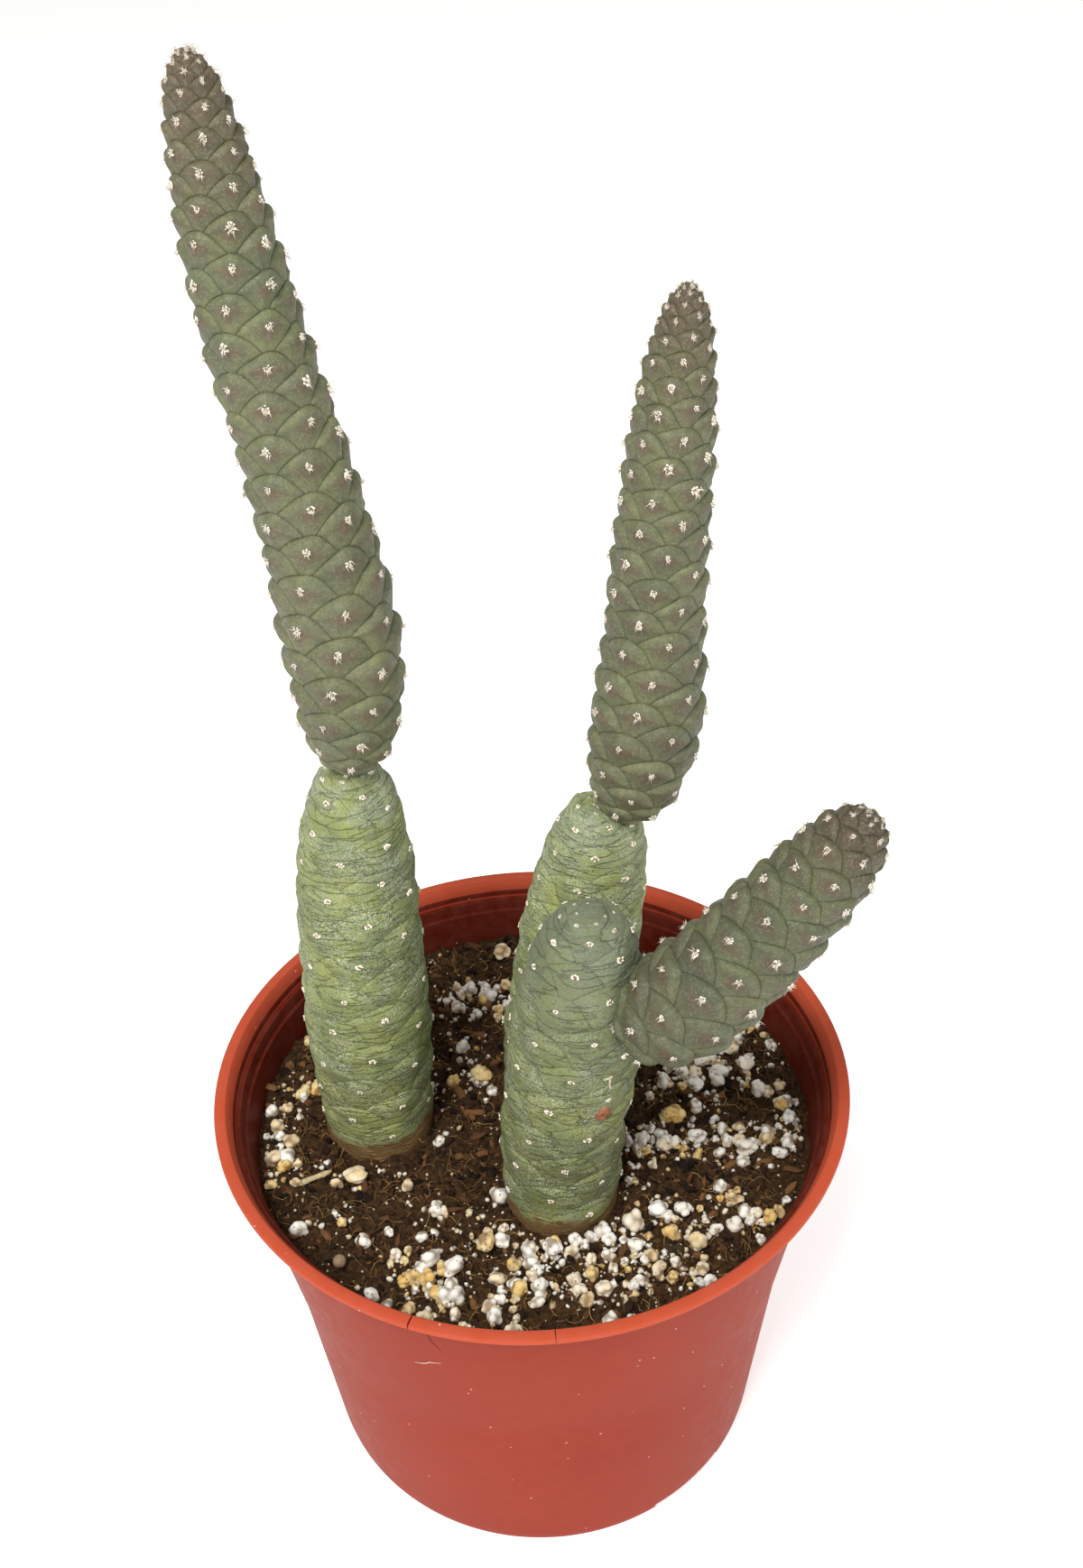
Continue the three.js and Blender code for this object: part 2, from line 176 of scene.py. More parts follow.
def make_piece(name, points, faces, nodes, material, marks=None, smooth=True):
    """A mesh piece from points in millimetres. `marks` are named values, one per point."""
    mesh = bpy.data.meshes.new(name)
    mesh.from_pydata((np.asarray(points) * MM).tolist(), [], [list(face) for face in faces])
    write_marks(mesh, marks or {})
    mesh.validate()
    piece = bpy.data.objects.new(name, mesh)
    bpy.context.scene.collection.objects.link(piece)
    mesh.materials.append(material)
    if smooth:
        mesh.polygons.foreach_set("use_smooth", [True] * len(mesh.polygons))
    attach(piece, "root")
    if nodes:
        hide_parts(*nodes)
    return piece


class Gather:
    """Many small closed shapes joined into one mesh, each with its own marks."""

    def __init__(self, *marks):
        self.points, self.faces = [], []
        self.marks = {mark: [] for mark in marks}
        self.count = 0

    def add(self, points, faces, **marks):
        self.points.append(points)
        self.faces.extend([tuple(int(k) + self.count for k in face) for face in faces])
        for mark, value in marks.items():
            self.marks[mark].append(np.broadcast_to(value, len(points)))
        self.count += len(points)

    def piece(self, name, nodes, slot, material, smooth=True):
        marks = {mark: np.concatenate(values) for mark, values in self.marks.items()}
        return make_piece(name, np.vstack(self.points), self.faces, nodes, material, marks, smooth)


def ball(cuts):
    """The points and faces of a round ball of radius 1."""
    mesh = bmesh.new()
    bmesh.ops.create_icosphere(mesh, subdivisions=cuts, radius=1)
    points = np.array([vertex.co[:] for vertex in mesh.verts])
    faces = [tuple(vertex.index for vertex in face.verts) for face in mesh.faces]
    mesh.free()
    return points, faces


def turned(points, rng):
    """Points turned to a chance direction."""
    axis = Vector(rng.normal(size=3)).normalized()
    spin = np.array(Matrix.Rotation(rng.uniform(0, TAU), 3, axis))
    return points @ spin.T


def strand(points, radii, sides=3):
    """A thin closed strand along points, with a radius at each."""
    points = np.asarray(points, dtype=float)
    along = np.gradient(points, axis=0)
    along /= np.linalg.norm(along, axis=1)[:, None] + 1e-9
    guide = np.array([0.31, 0.17, 0.93])
    across = np.cross(along, guide)
    across /= np.linalg.norm(across, axis=1)[:, None] + 1e-9
    beside = np.cross(along, across)
    rings = []
    for side in range(sides):
        angle = TAU * side / sides
        spoke = math.cos(angle) * across + math.sin(angle) * beside
        rings.append(points + np.asarray(radii)[:, None] * spoke)
    body = np.stack(rings, axis=1).reshape(-1, 3)
    count = len(points)
    faces = []
    for ring in range(count - 1):
        for side in range(sides):
            a = ring * sides + side
            b = ring * sides + (side + 1) % sides
            faces.append((a, b, b + sides, a + sides))
    faces.append(tuple(reversed(range(sides))))
    faces.append(tuple(range((count - 1) * sides, count * sides)))
    return body, faces


def turned_faces(rings, sides, closed=True):
    """Faces of a body turned round an axis: a point, rings of points and, if closed, a last point."""
    faces = []
    for side in range(sides):
        after = (side + 1) % sides
        faces.append((0, 1 + after, 1 + side))
        for ring in range(rings - 1):
            a, b = 1 + ring * sides, 1 + (ring + 1) * sides
            faces.append((a + side, a + after, b + after, b + side))
        if closed:
            end = 1 + (rings - 1) * sides
            faces.append((end + sides, end + side, end + after))
    return faces


# ---------------------------------------------------------------- materials

def paint(text):
    """A colour written as six hex digits, as light values."""
    values = [int(text[k:k + 2], 16) / 255 for k in (0, 2, 4)]
    return tuple(v / 12.92 if v <= 0.04045 else ((v + 0.055) / 1.055) ** 2.4 for v in values) + (1.0,)


def put(tree, kind, inputs=None, **settings):
    """One shader node, with its settings and its inputs: a value, or an output to link."""
    node = tree.nodes.new(kind)
    for key, value in settings.items():
        setattr(node, key, value)
    for key, value in (inputs or {}).items():
        socket = node.inputs[key]
        if isinstance(value, bpy.types.NodeSocket):
            tree.links.new(value, socket)
        else:
            socket.default_value = value
    return node


def maths(tree, how, a, b=0.0):
    return put(tree, "ShaderNodeMath", {0: a, 1: b}, operation=how).outputs[0]


def paint_mix(tree, share, first, second, how="MIX"):
    """Two paints mixed by a share; each is a colour or an output."""
    inputs = {0: share, 6: first, 7: second}  # a Mix node's factor and its two colours
    return put(tree, "ShaderNodeMix", inputs, data_type="RGBA", blend_type=how).outputs[2]


def start_group(name, inputs, output):
    """A shader node group with named number inputs and one number output, and places on the object."""
    tree = bpy.data.node_groups.new(name, "ShaderNodeTree")
    for label, value in inputs.items():
        tree.interface.new_socket(label, in_out="INPUT", socket_type="NodeSocketFloat").default_value = value
    tree.interface.new_socket(output, in_out="OUTPUT", socket_type="NodeSocketFloat")
    given = tree.nodes.new("NodeGroupInput").outputs
    result = tree.nodes.new("NodeGroupOutput").inputs[output]
    where = put(tree, "ShaderNodeTexCoord").outputs["Object"]
    return tree, given, result, where


def patches_group():
    """Soft patches: 0 to 1 over the surface, `Size` metres across, harder with more `Contrast`."""
    tree, given, result, where = start_group("patches", {"Size": 0.01, "Contrast": 1.0, "Seed": 0.0}, "Mask")
    noise = put(tree, "ShaderNodeTexNoise", {
        "Vector": where, "W": given["Seed"], "Scale": maths(tree, "DIVIDE", 1.0, given["Size"]),
        "Detail": 3.0, "Roughness": 0.6}, noise_dimensions="4D")
    centred = maths(tree, "SUBTRACT", noise.outputs["Fac"], 0.5)
    stretched = maths(tree, "MULTIPLY", centred, given["Contrast"])
    held = put(tree, "ShaderNodeClamp", {"Value": maths(tree, "ADD", stretched, 0.5)})
    tree.links.new(held.outputs[0], result)
    return tree


def specks_group():
    """Scattered specks: 1 in a speck, `Spacing` metres apart, filling `Fill` of `Share` of their cells."""
    tree, given, result, where = start_group("specks", {"Spacing": 0.001, "Fill": 0.3, "Share": 0.5}, "Mask")
    scale = maths(tree, "DIVIDE", 1.0, given["Spacing"])
    cells = put(tree, "ShaderNodeTexVoronoi", {"Vector": where, "Scale": scale})
    near = maths(tree, "LESS_THAN", cells.outputs["Distance"], given["Fill"])
    split = put(tree, "ShaderNodeSeparateColor", {"Color": cells.outputs["Color"]})
    chosen = maths(tree, "LESS_THAN", split.outputs[0], given["Share"])
    tree.links.new(maths(tree, "MULTIPLY", near, chosen), result)
    return tree


def grain_group():
    """Fine grain as a height from 0 to 1, with a coarse and a fine part."""
    tree, given, result, where = start_group("grain", {"Size": 0.001, "Fineness": 0.5}, "Height")
    noise = put(tree, "ShaderNodeTexNoise", {
        "Vector": where, "Scale": maths(tree, "DIVIDE", 1.0, given["Size"]),
        "Detail": 5.0, "Roughness": given["Fineness"]})
    tree.links.new(noise.outputs["Fac"], result)
    return tree


def wrinkles_group():
    """Level, wavy wrinkle lines round an upright body: 1 on a line."""
    tree, given, result, where = start_group("wrinkles", {"Size": 0.012, "Width": 0.05}, "Line")
    squeezed = put(tree, "ShaderNodeVectorMath", {0: where, 1: (1, 1, 5)}, operation="MULTIPLY").outputs[0]
    noise = put(tree, "ShaderNodeTexNoise", {
        "Vector": squeezed, "Scale": maths(tree, "DIVIDE", 1.0, given["Size"]),
        "Detail": 2.0, "Roughness": 0.45})
    away = maths(tree, "ABSOLUTE", maths(tree, "SUBTRACT", noise.outputs["Fac"], 0.5))
    near = maths(tree, "SUBTRACT", 1.0, maths(tree, "DIVIDE", away, given["Width"]))
    tree.links.new(put(tree, "ShaderNodeClamp", {"Value": near}).outputs[0], result)
    return tree


PATCHES = patches_group()
WRINKLES = wrinkles_group()
SPECKS = specks_group()
GRAIN = grain_group()


class Finish:
    """A material in the making: its shader, and the colour laid on so far."""

    def __init__(self, name, roughness, specular, first):
        self.material = bpy.data.materials.new(name)
        self.material.use_nodes = True
        self.tree = self.material.node_tree
        self.shader = self.tree.nodes["Principled BSDF"]
        self.set({"Roughness": roughness, "Specular IOR Level": specular})
        self.colour = paint(first)

    def set(self, values):
        for key, value in values.items():
            self.shader.inputs[key].default_value = value

    def group(self, group, **inputs):
        return put(self.tree, "ShaderNodeGroup", inputs, node_tree=group).outputs[0]

    def patches(self, size, contrast, seed):
        return self.group(PATCHES, Size=size, Contrast=contrast, Seed=seed)

    def specks(self, spacing, fill, share):
        return self.group(SPECKS, Spacing=spacing, Fill=fill, Share=share)

    def grain(self, size, fineness):
        return self.group(GRAIN, Size=size, Fineness=fineness)

    def mark(self, name):
        return put(self.tree, "ShaderNodeAttribute", attribute_name=name).outputs["Fac"]

    def times(self, a, b):
        return maths(self.tree, "MULTIPLY", a, b)

    def spread(self, value, low, high, to_low=0.0, to_high=1.0):
        """The value, stretched from one range to another and held inside it."""
        return put(self.tree, "ShaderNodeMapRange", {
            "Value": value, "From Min": low, "From Max": high, "To Min": to_low, "To Max": to_high,
        }).outputs["Result"]

    def over(self, share, colour, strength=1.0):
        """Lays a paint over the colour so far, as much as the share says."""
        if strength != 1.0:
            share = self.times(share, strength)
        self.colour = paint_mix(self.tree, share, self.colour, paint(colour))

    def brighten(self, share):
        grey = put(self.tree, "ShaderNodeCombineColor", {0: share, 1: share, 2: share}).outputs[0]
        self.colour = paint_mix(self.tree, 1.0, self.colour, grey, "MULTIPLY")

    def vary_roughness(self, share, low, high):
        self.tree.links.new(self.spread(share, 0, 1, low, high), self.shader.inputs["Roughness"])

    def done(self, height, depth_mm):
        """Gives the shader its colour, and a bump made from a height."""
        bump = put(self.tree, "ShaderNodeBump", {"Height": height, "Distance": depth_mm * MM})
        self.tree.links.new(bump.outputs["Normal"], self.shader.inputs["Normal"])
        self.tree.links.new(self.colour, self.shader.inputs["Base Color"])
        return self.material


def young_skin():
    """Dusky olive skin: browner under the areoles and at the tip, greener between the tubercles, with painted
    shade in the grooves between them.
    """
    skin = Finish("young_skin", 0.55, 0.36, "636b4f")
    skin.over(skin.patches(0.016, 2.4, 1), "79785b")
    lime = skin.times(skin.mark("flank"), skin.patches(0.010, 4, 9))
    skin.over(lime, "868b54", 0.5)
    skin.over(skin.mark("crown"), "725b45", 0.95)
    skin.over(skin.spread(skin.mark("along"), 0.78, 1, 0, 0.85), "66503f")
    mottle = skin.patches(0.0012, 4.4, 4)
    skin.over(mottle, "525846", 0.42)
    # the brightness mark: each segment's tone, with painted light near the soil
    skin.brighten(skin.mark("bright"))
    bloom = skin.specks(0.00045, 0.45, 0.4)
    skin.over(bloom, "a9aa98", 0.15)
    # painted shade: a dark line along the grooves between the tubercles, stronger in some patches than in
    # others
    uneven_crease_shade = skin.patches(0.005, 3, 21)
    skin.over(skin.times(skin.mark("painted_crease_shade"), skin.spread(uneven_crease_shade, 0, 1, 0.68, 0.15)), "2f362b")
    skin.vary_roughness(mottle, 0.48, 0.62)
    return skin.done(skin.grain(0.0013, 0.66), 0.25)


def old_skin():
    """Yellow-green old skin with level wrinkles under a pale powdery bloom, corky where it meets the soil,
    with painted shade along the wrinkles and in the grooves between the tubercles.
    """
    skin = Finish("old_skin", 0.7, 0.25, "778248")
    skin.over(skin.patches(0.017, 3, 2), "9ba25d")
    skin.over(skin.patches(0.008, 4.5, 6), "7c8564", 0.6)
    wrinkle = skin.group(WRINKLES, Size=0.011, Width=0.035)
    # painted shade: dark lines along the wrinkle folds, and on the next line in the grooves between the
    # tubercles
    skin.over(wrinkle, "3b4633", 0.5)
    skin.over(skin.mark("painted_crease_shade"), "3f4c36", 0.3)
    dense = skin.patches(0.007, 3.6, 12)
    bloom = skin.times(skin.specks(0.00038, 0.52, 0.6), skin.spread(dense, 0.15, 0.9, 0.1, 0.7))
    skin.over(bloom, "c3c6b8")
    skin.over(skin.specks(0.0005, 0.4, 0.36), "36412f", 0.55)
    along = skin.mark("along")
    skin.over(skin.times(skin.spread(along, 0.75, 1, 0, 0.55), dense), "98a08e")
    skin.over(skin.times(skin.spread(along, 0.55, 0.9), skin.mark("dusk")), "757d6c")
    ragged = skin.times(maths(skin.tree, "SUBTRACT", dense, 0.5), 0.4)
    cork = maths(skin.tree, "ADD", skin.mark("cork"), ragged)
    skin.over(skin.spread(cork, 0.45, 0.65), "755c38")
    # the brightness mark: each segment's tone, with painted light near the soil
    skin.brighten(skin.mark("bright"))
    skin.vary_roughness(dense, 0.6, 0.85)
    height = maths(skin.tree, "SUBTRACT", skin.grain(0.0010, 0.7), skin.times(wrinkle, 0.8))
    return skin.done(height, 0.40)


def areole_wool():
    """Cream wool with a browner heart."""
    wool = Finish("areole_wool", 0.9, 0.15, "fff8e8")
    wool.over(wool.mark("heart"), "86613f")
    dust = wool.patches(0.0006, 4, 3)
    wool.over(dust, "c9b48e", 0.15)
    return wool.done(wool.grain(0.00025, 0.7), 0.1)


def pot_plastic():
    """Matte moulded terracotta-red plastic with a pale film and specks of dust, with painted light on the lip
    and painted shade inside.
    """
    plastic = Finish("pot_plastic", 0.5, 0.05, "8a2b17")
    plastic.over(plastic.patches(0.05, 1.6, 5), "94331d")
    # painted light: the lip is painted lighter than the wall
    plastic.over(plastic.mark("rim"), "ba4e33")
    # painted shade: the inside of the wall is painted darker
    plastic.over(plastic.mark("inside"), "58190a")
    film = plastic.patches(0.004, 3, 8)
    plastic.over(film, "d9968a", 0.05)
    dust = plastic.specks(0.0044, 0.06, 0.4)
    plastic.over(dust, "ecd9ca", 0.6)
    plastic.vary_roughness(film, 0.42, 0.56)
    return plastic.done(plastic.grain(0.0016, 0.5), 0.03)


def peat():
    """Damp dark peat, browner where it dries, with pale crumbs."""
    soil = Finish("peat", 0.92, 0.2, "140d07")
    soil.over(soil.patches(0.006, 3, 7), "35230f")
    soil.over(soil.patches(0.0011, 4.5, 11), "6a4a2c", 0.4)
    soil.over(soil.specks(0.0016, 0.2, 0.22), "c9bd9d")
    return soil.done(soil.grain(0.0014, 0.8), 0.6)


def toned(name, dark, light):
    """A dry natural material, each of its bits darker or lighter by chance."""
    bits = Finish(name, 0.85, 0.2, dark)
    bits.over(bits.mark("tone"), light)
    return bits.done(bits.grain(0.0008, 0.8), 0.3)


def perlite_foam():
    """Expanded white perlite, some of it stained cream and yellow, with dark pits; the brown in its crevices
    and on its undersides, and the dark of its pits, are partly soil and partly painted shade.
    """
    foam = Finish("perlite_foam", 0.85, 0.3, "fffdf4")
    foam.set({"Subsurface Weight": 0.3, "Subsurface Radius": (1.0, 0.85, 0.6), "Subsurface Scale": 0.0012})
    tone = foam.mark("tone")
    foam.over(foam.spread(tone, 0.45, 1), "f6dc96")
    stain = foam.patches(0.0028, 4, 13)
    foam.over(foam.times(stain, foam.spread(tone, 0.3, 1, 0.08, 0.85)), "d9a548")
    # brown in the crevices between the bumps: partly soil stain, partly painted shade
    foam.over(foam.mark("dent"), "7a5c38", 0.75)
    # the undersides of the grains: partly soil stain, partly painted shade
    foam.over(foam.mark("soiled"), "b08c55", 0.55)
    # dark specks for the pits: partly soil in the pores, partly painted shade in them
    pits = foam.specks(0.0011, 0.24, 0.42)
    foam.over(pits, "5d4a33", 0.7)
    return foam.done(foam.grain(0.0007, 0.75), 0.3)


def weathered(name, light, dark, size, roughness):
    """A natural material of two paints in patches, with a fine grain."""
    finish = Finish(name, roughness, 0.3, light)
    finish.over(finish.patches(size, 3, 17), dark)
    return finish.done(finish.grain(size / 3, 0.7), 0.15)


# ---------------------------------------------------------------- a segment's surface

def hermite(t, start, leave, end, arrive):
    """Places at shares t of a curve from start to end that leaves and arrives the given ways."""
    return (
        (2 * t**3 - 3 * t**2 + 1) * start
        + (t**3 - 2 * t**2 + t) * leave
        + (3 * t**2 - 2 * t**3) * end
        + (t**3 - t**2) * arrive
    )


def smooth_line(knots, count):
    """A curve through the knots, with its ends eased: `count` points, evenly placed by knot distance."""
    knots = np.asarray(knots, dtype=float)
    gaps = np.linalg.norm(np.diff(knots, axis=0), axis=1)
    at = np.concatenate([[0], np.cumsum(np.sqrt(gaps))])
    widths = np.diff(at)[:, None]
    steps = np.diff(knots, axis=0) / widths
    slopes = np.zeros_like(knots)
    slopes[1:-1] = (steps[:-1] * widths[1:] + steps[1:] * widths[:-1]) / (widths[1:] + widths[:-1])
    slopes[0] = 1.5 * steps[0] - 0.5 * slopes[1]
    slopes[-1] = 1.5 * steps[-1] - 0.5 * slopes[-2]
    where = np.linspace(0, at[-1], count)
    piece = np.clip(np.searchsorted(at, where, side="right") - 1, 0, len(knots) - 2)
    width = widths[piece]
    t = (where - at[piece])[:, None] / width
    return hermite(t, knots[piece], width * slopes[piece], knots[piece + 1], width * slopes[piece + 1])


LINE_POINTS, RUN_POINTS, OUTLINE_POINTS = 600, 400, 1500  # how finely a stem is worked out


class Stem:
    """A segment's body as a map from (angle, climb) to space. Climb is length along the skin over radius."""

    def __init__(self, node):
        plan = SEGMENTS[node]
        low, high = box_mm(node)
        centre = (low + high) / 2
        height = high[2] - low[2]
        line = [(centre[0] + x, centre[1] + y, low[2] + share * height) for share, x, y in plan["line"]]
        fine = smooth_line(line, LINE_POINTS)
        run = np.concatenate([[0], np.cumsum(np.linalg.norm(np.diff(fine, axis=0), axis=1))])
        self.length = run[-1]
        self.run = np.linspace(0, self.length, RUN_POINTS)
        self.centres = np.stack([np.interp(self.run, run, fine[:, k]) for k in range(3)], axis=1)
        knots = [(share * self.length, radius) for share, radius in plan["outline"]]
        outline = smooth_line(knots, OUTLINE_POINTS)
        skin = np.linalg.norm(np.diff(outline, axis=0), axis=1)
        middle = (outline[1:, 1] + outline[:-1, 1]) / 2
        self.climb = np.concatenate([[0], np.cumsum(skin / middle)])
        self.at = outline[:, 0]
        self.radius = outline[:, 1]
        slope = np.gradient(outline, axis=0)
        slope /= np.linalg.norm(slope, axis=1)[:, None]
        self.out_radial = slope[:, 0]
        self.out_along = -slope[:, 1]
        self.turn = plan["turn"]
        self.old = plan["old"]

    def place(self, angle, climb, height):
        """Points at an angle and climb, lifted off the smooth skin by a height."""
        along = np.interp(climb, self.climb, self.at)
        radius = np.interp(climb, self.climb, self.radius)
        radial = np.interp(climb, self.climb, self.out_radial)
        axial = np.interp(climb, self.climb, self.out_along)
        centre = np.stack([np.interp(along, self.run, self.centres[:, k]) for k in range(3)], axis=-1)
        ahead = np.stack([np.interp(along + 1, self.run, self.centres[:, k]) for k in range(3)], axis=-1)
        behind = np.stack([np.interp(along - 1, self.run, self.centres[:, k]) for k in range(3)], axis=-1)
        axis = ahead - behind
        axis /= np.linalg.norm(axis, axis=-1, keepdims=True)
        across = np.array([1.0, 0, 0]) - axis * axis[..., :1]
        across /= np.linalg.norm(across, axis=-1, keepdims=True)
        beside = np.cross(axis, across)
        spoke = np.cos(angle)[..., None] * across + np.sin(angle)[..., None] * beside
        out = radial[..., None] * spoke + axial[..., None] * axis
        return centre + radius[..., None] * spoke + height[..., None] * out

    def share(self, climb):
        return np.interp(climb, self.climb, self.at) / self.length

    def girth_radius(self, climb):
        return np.interp(climb, self.climb, self.radius)

    def middle_at(self, level):
        """The stem's middle at a height."""
        return np.array([np.interp(level, self.centres[:, 2], self.centres[:, k]) for k in range(3)])


RINGS = np.array([0.2, 0.4, 0.58, 0.74, 0.87, 0.95, 0.985, 1.0])  # a tubercle's rings, as shares of its reach
CAP = 0.12  # half the width of the arch's top, as an angle
SIDE_STEPS, CAP_STEPS = 6, 3
REACH = 9  # tubercles this many places past a stem's ends still reach into it
SOFTNESS = 0.22  # how gently a tubercle meets the next one
AREOLE = np.array([0.02, 0.14])  # the areole's place from the tubercle's middle, in angle and climb


def sweep(start, end, leave, arrive, count):
    """A curve from start to end that leaves and arrives the given ways, in `count` steps."""
    return hermite(np.linspace(0, 1, count + 1)[:, None], start, np.array(leave), end, np.array(arrive))


def tubercle_edge(step):
    """One tubercle's edge round its middle, in (angle, climb), and whether each point is on a cap.

    An arch runs over the top and down to both shoulders. The same three curves, moved by a neighbour's
    place, make the lower half, where this tubercle tucks in behind the arches of the ones below it.
    """
    def neighbour(places):
        angle = places * TURN
        return np.array([angle - TAU * round(angle / TAU), places * step])

    three, eight = neighbour(3), neighbour(8)
    half_cap = np.array([CAP, -0.1 * CAP])
    top_left, top_right = eight / 2 - half_cap, eight / 2 + half_cap
    left = top_right - three
    right = top_left + three - eight
    sides = [
        sweep(left, top_left, (0.42, 0.40), (0.60, 0.05), SIDE_STEPS),
        sweep(top_left, top_right, (0.23, 0.04), (0.23, -0.08), CAP_STEPS),
        sweep(top_right, right, (0.48, -0.14), (0.28, -0.48), SIDE_STEPS),
    ]
    moves = [three - eight, -eight, -three]
    lower = [(side + move)[::-1] for side, move in zip(sides, moves)]
    edge = np.vstack([side[:-1] for side in sides + lower])
    on_cap = np.repeat([0.0, 1.0, 0.0], [SIDE_STEPS, CAP_STEPS, SIDE_STEPS])
    return edge, np.tile(on_cap, 2)


class Tubercle:
    """One tubercle laid flat: rings of points round its areole, and how the skin rises over them."""

    def __init__(self, step, old):
        edge, on_cap = tubercle_edge(step)
        spokes = edge - AREOLE
        upward = spokes[:, 1] / np.linalg.norm(spokes, axis=1)
        self.flat = np.vstack([AREOLE, (AREOLE + RINGS[:, None, None] * spokes).reshape(-1, 2)])
        share = np.concatenate([[0], np.repeat(RINGS, len(edge))])
        up = np.concatenate([[0], np.tile(upward, len(RINGS))])
        cap = np.concatenate([[0], np.tile(on_cap, len(RINGS))])
        power = 1.9 + 0.5 * up if old else 2.4 + 1.3 * up
        crown = 1 - share ** np.maximum(power, 1.15)
        self.crown = crown * crown / (crown + SOFTNESS * (1 - 0.6 * np.clip(up, 0, 1)))
        self.groove = np.exp(-(((1 - share) / 0.017) ** 2)) * (1 - 0.3 * cap)
        self.dent = np.exp(-((share / 0.14) ** 2))
        self.brown = np.exp(-(((share - 0.2) / 0.34) ** 2)) * np.clip(0.6 - up, 0, 1)
        self.flank = np.clip((share - 0.35) / 0.4, 0, 1)
        self.faces = turned_faces(len(RINGS), len(edge), closed=False)


def wander(angle, rise):
    """The lattice moved about a little, the same way for everything near."""
    probe = np.stack([3 * np.cos(angle), 3 * np.sin(angle), 3 * rise], axis=-1)
    return angle + 0.07 * uneven(probe, 1.7, 5), rise + 0.06 * uneven(probe, 1.9, 8)


def old_lift(body, radius, cell, size):
    """How far old skin stands off its stem: low tubercles and folds, smoothed out near the soil."""
    swell = np.clip((body[..., 2] - SOIL_LEVEL - 2) / 12, 0, 1)
    folds = uneven(body * (1, 1, 2.8), 10, 3)
    relief = 0.052 * (cell.crown * size - 0.5) * (0.35 + 0.65 * swell)
    grooves = 0.018 * cell.groove * (0.4 + 0.6 * swell)
    return radius * (relief - grooves) + 0.40 * folds * swell + 0.14 * uneven(body, 2.6, 4)


def young_lift(body, radius, cell, size, along):
    """How far young skin stands off its stem: high tubercles, higher near the tip, dented at the areole."""
    tip = np.clip((along - 0.7) / 0.3, 0, 1)
    relief = (0.132 + 0.05 * tip) * (cell.crown * size - 0.5)
    return radius * (relief - 0.019 * cell.groove - 0.02 * cell.dent) + 0.10 * uneven(body, 3.1, 4)


def segment_skin(node):
    """A segment's stem, the points, faces and marks of its tubercled skin, and its areoles' places."""
    stem, plan = Stem(node), SEGMENTS[node]
    step = TAU * (CLIMB_OLD if stem.old else CLIMB_YOUNG)
    cell = Tubercle(step, stem.old)
    end = stem.climb[-1]
    order = np.arange(-REACH, int(end / step) + REACH + 1)
    count = len(order)
    rng = scatter(len(node) * 7 + int(stem.turn * 10))
    middles = np.stack([stem.turn + order * TURN, order * step], axis=1)
    places = middles[:, None, :] + cell.flat
    angle, rise = wander(places[..., 0], places[..., 1])
    inside = (rise > 0) & (rise < end)
    rise = np.clip(rise, 0, end)
    along = stem.share(rise)
    radius = stem.girth_radius(rise)
    body = stem.place(angle, rise, np.zeros_like(rise))
    # painted light: up to a quarter brighter close to the soil, to lift the shade there; the rest of the
    # brightness mark is each segment's own tone
    painted_light_near_soil = np.exp(-(((body[..., 2] - SOIL_LEVEL) / 18) ** 2))
    bright = plan["bright"] * rng.uniform(0.92, 1.08, (count, 1)) * (1 + 0.25 * painted_light_near_soil)
    size = rng.uniform(0.88, 1.12, (count, 1))
    if stem.old:
        lift = old_lift(body, radius, cell, size)
    else:
        lift = young_lift(body, radius, cell, size, along)
    lift = lift * np.clip(np.minimum(rise, end - rise) / 0.2, 0, 1)
    points = stem.place(angle, rise, lift)
    kept = inside.ravel()
    faces = [tuple(k + n * len(cell.flat) for k in face) for n in range(count) for face in cell.faces]
    faces = [face for face in faces if any(kept[k] for k in face)]
    marks = {
        # the groove mark: where painted shade darkens the grooves between the tubercles
        "painted_crease_shade": np.tile(cell.groove, count),
        "crown": np.tile(cell.brown, count),
        "flank": np.tile(cell.flank, count),
        "along": along.ravel(),
        "bright": bright.ravel(),
    }
    if stem.old:
        marks["dusk"] = np.full(along.size, plan["dusk"])
        marks["cork"] = np.clip(1 - (points[..., 2] - SOIL_LEVEL) / 11, 0, 1).ravel()
    centres = np.stack([angle[:, 0], rise[:, 0], lift[:, 0]], axis=1)[inside[:, 0]]
    return stem, points.reshape(-1, 3), faces, marks, centres


def sew(piece):
    """Joins the tubercles along their edges, and closes both ends."""
    mesh = bmesh.new()
    mesh.from_mesh(piece.data)
    bmesh.ops.delete(mesh, geom=[vertex for vertex in mesh.verts if not vertex.link_faces], context="VERTS")
    bmesh.ops.remove_doubles(mesh, verts=mesh.verts, dist=2e-6)
    for face in [face for face in mesh.faces if face.calc_area() < 1e-14]:
        mesh.faces.remove(face)
    open_edges = [edge for edge in mesh.edges if edge.is_boundary]
    bmesh.ops.holes_fill(mesh, edges=open_edges, sides=0)
    bmesh.ops.recalc_face_normals(mesh, faces=mesh.faces)
    mesh.to_mesh(piece.data)
    mesh.free()


def build_segment(node, material):
    stem, points, faces, marks, centres = segment_skin(node)
    piece = make_piece(node.replace("_segment", "_skin"), points, faces, [node], material, marks)
    sew(piece)
    return stem, centres


# ---------------------------------------------------------------- areoles

YOUNG_AREOLE = np.array([0.62, 0.78, 0.44])  # half its width, half its height, and its thickness
OLD_AREOLE = np.array([0.74, 0.50, 0.24])
TUFT_POINTS, TUFT_FACES = ball(0)
GLOCHID_FACES = [(0, 2, 1), (0, 1, 3), (1, 2, 3), (2, 0, 3)]


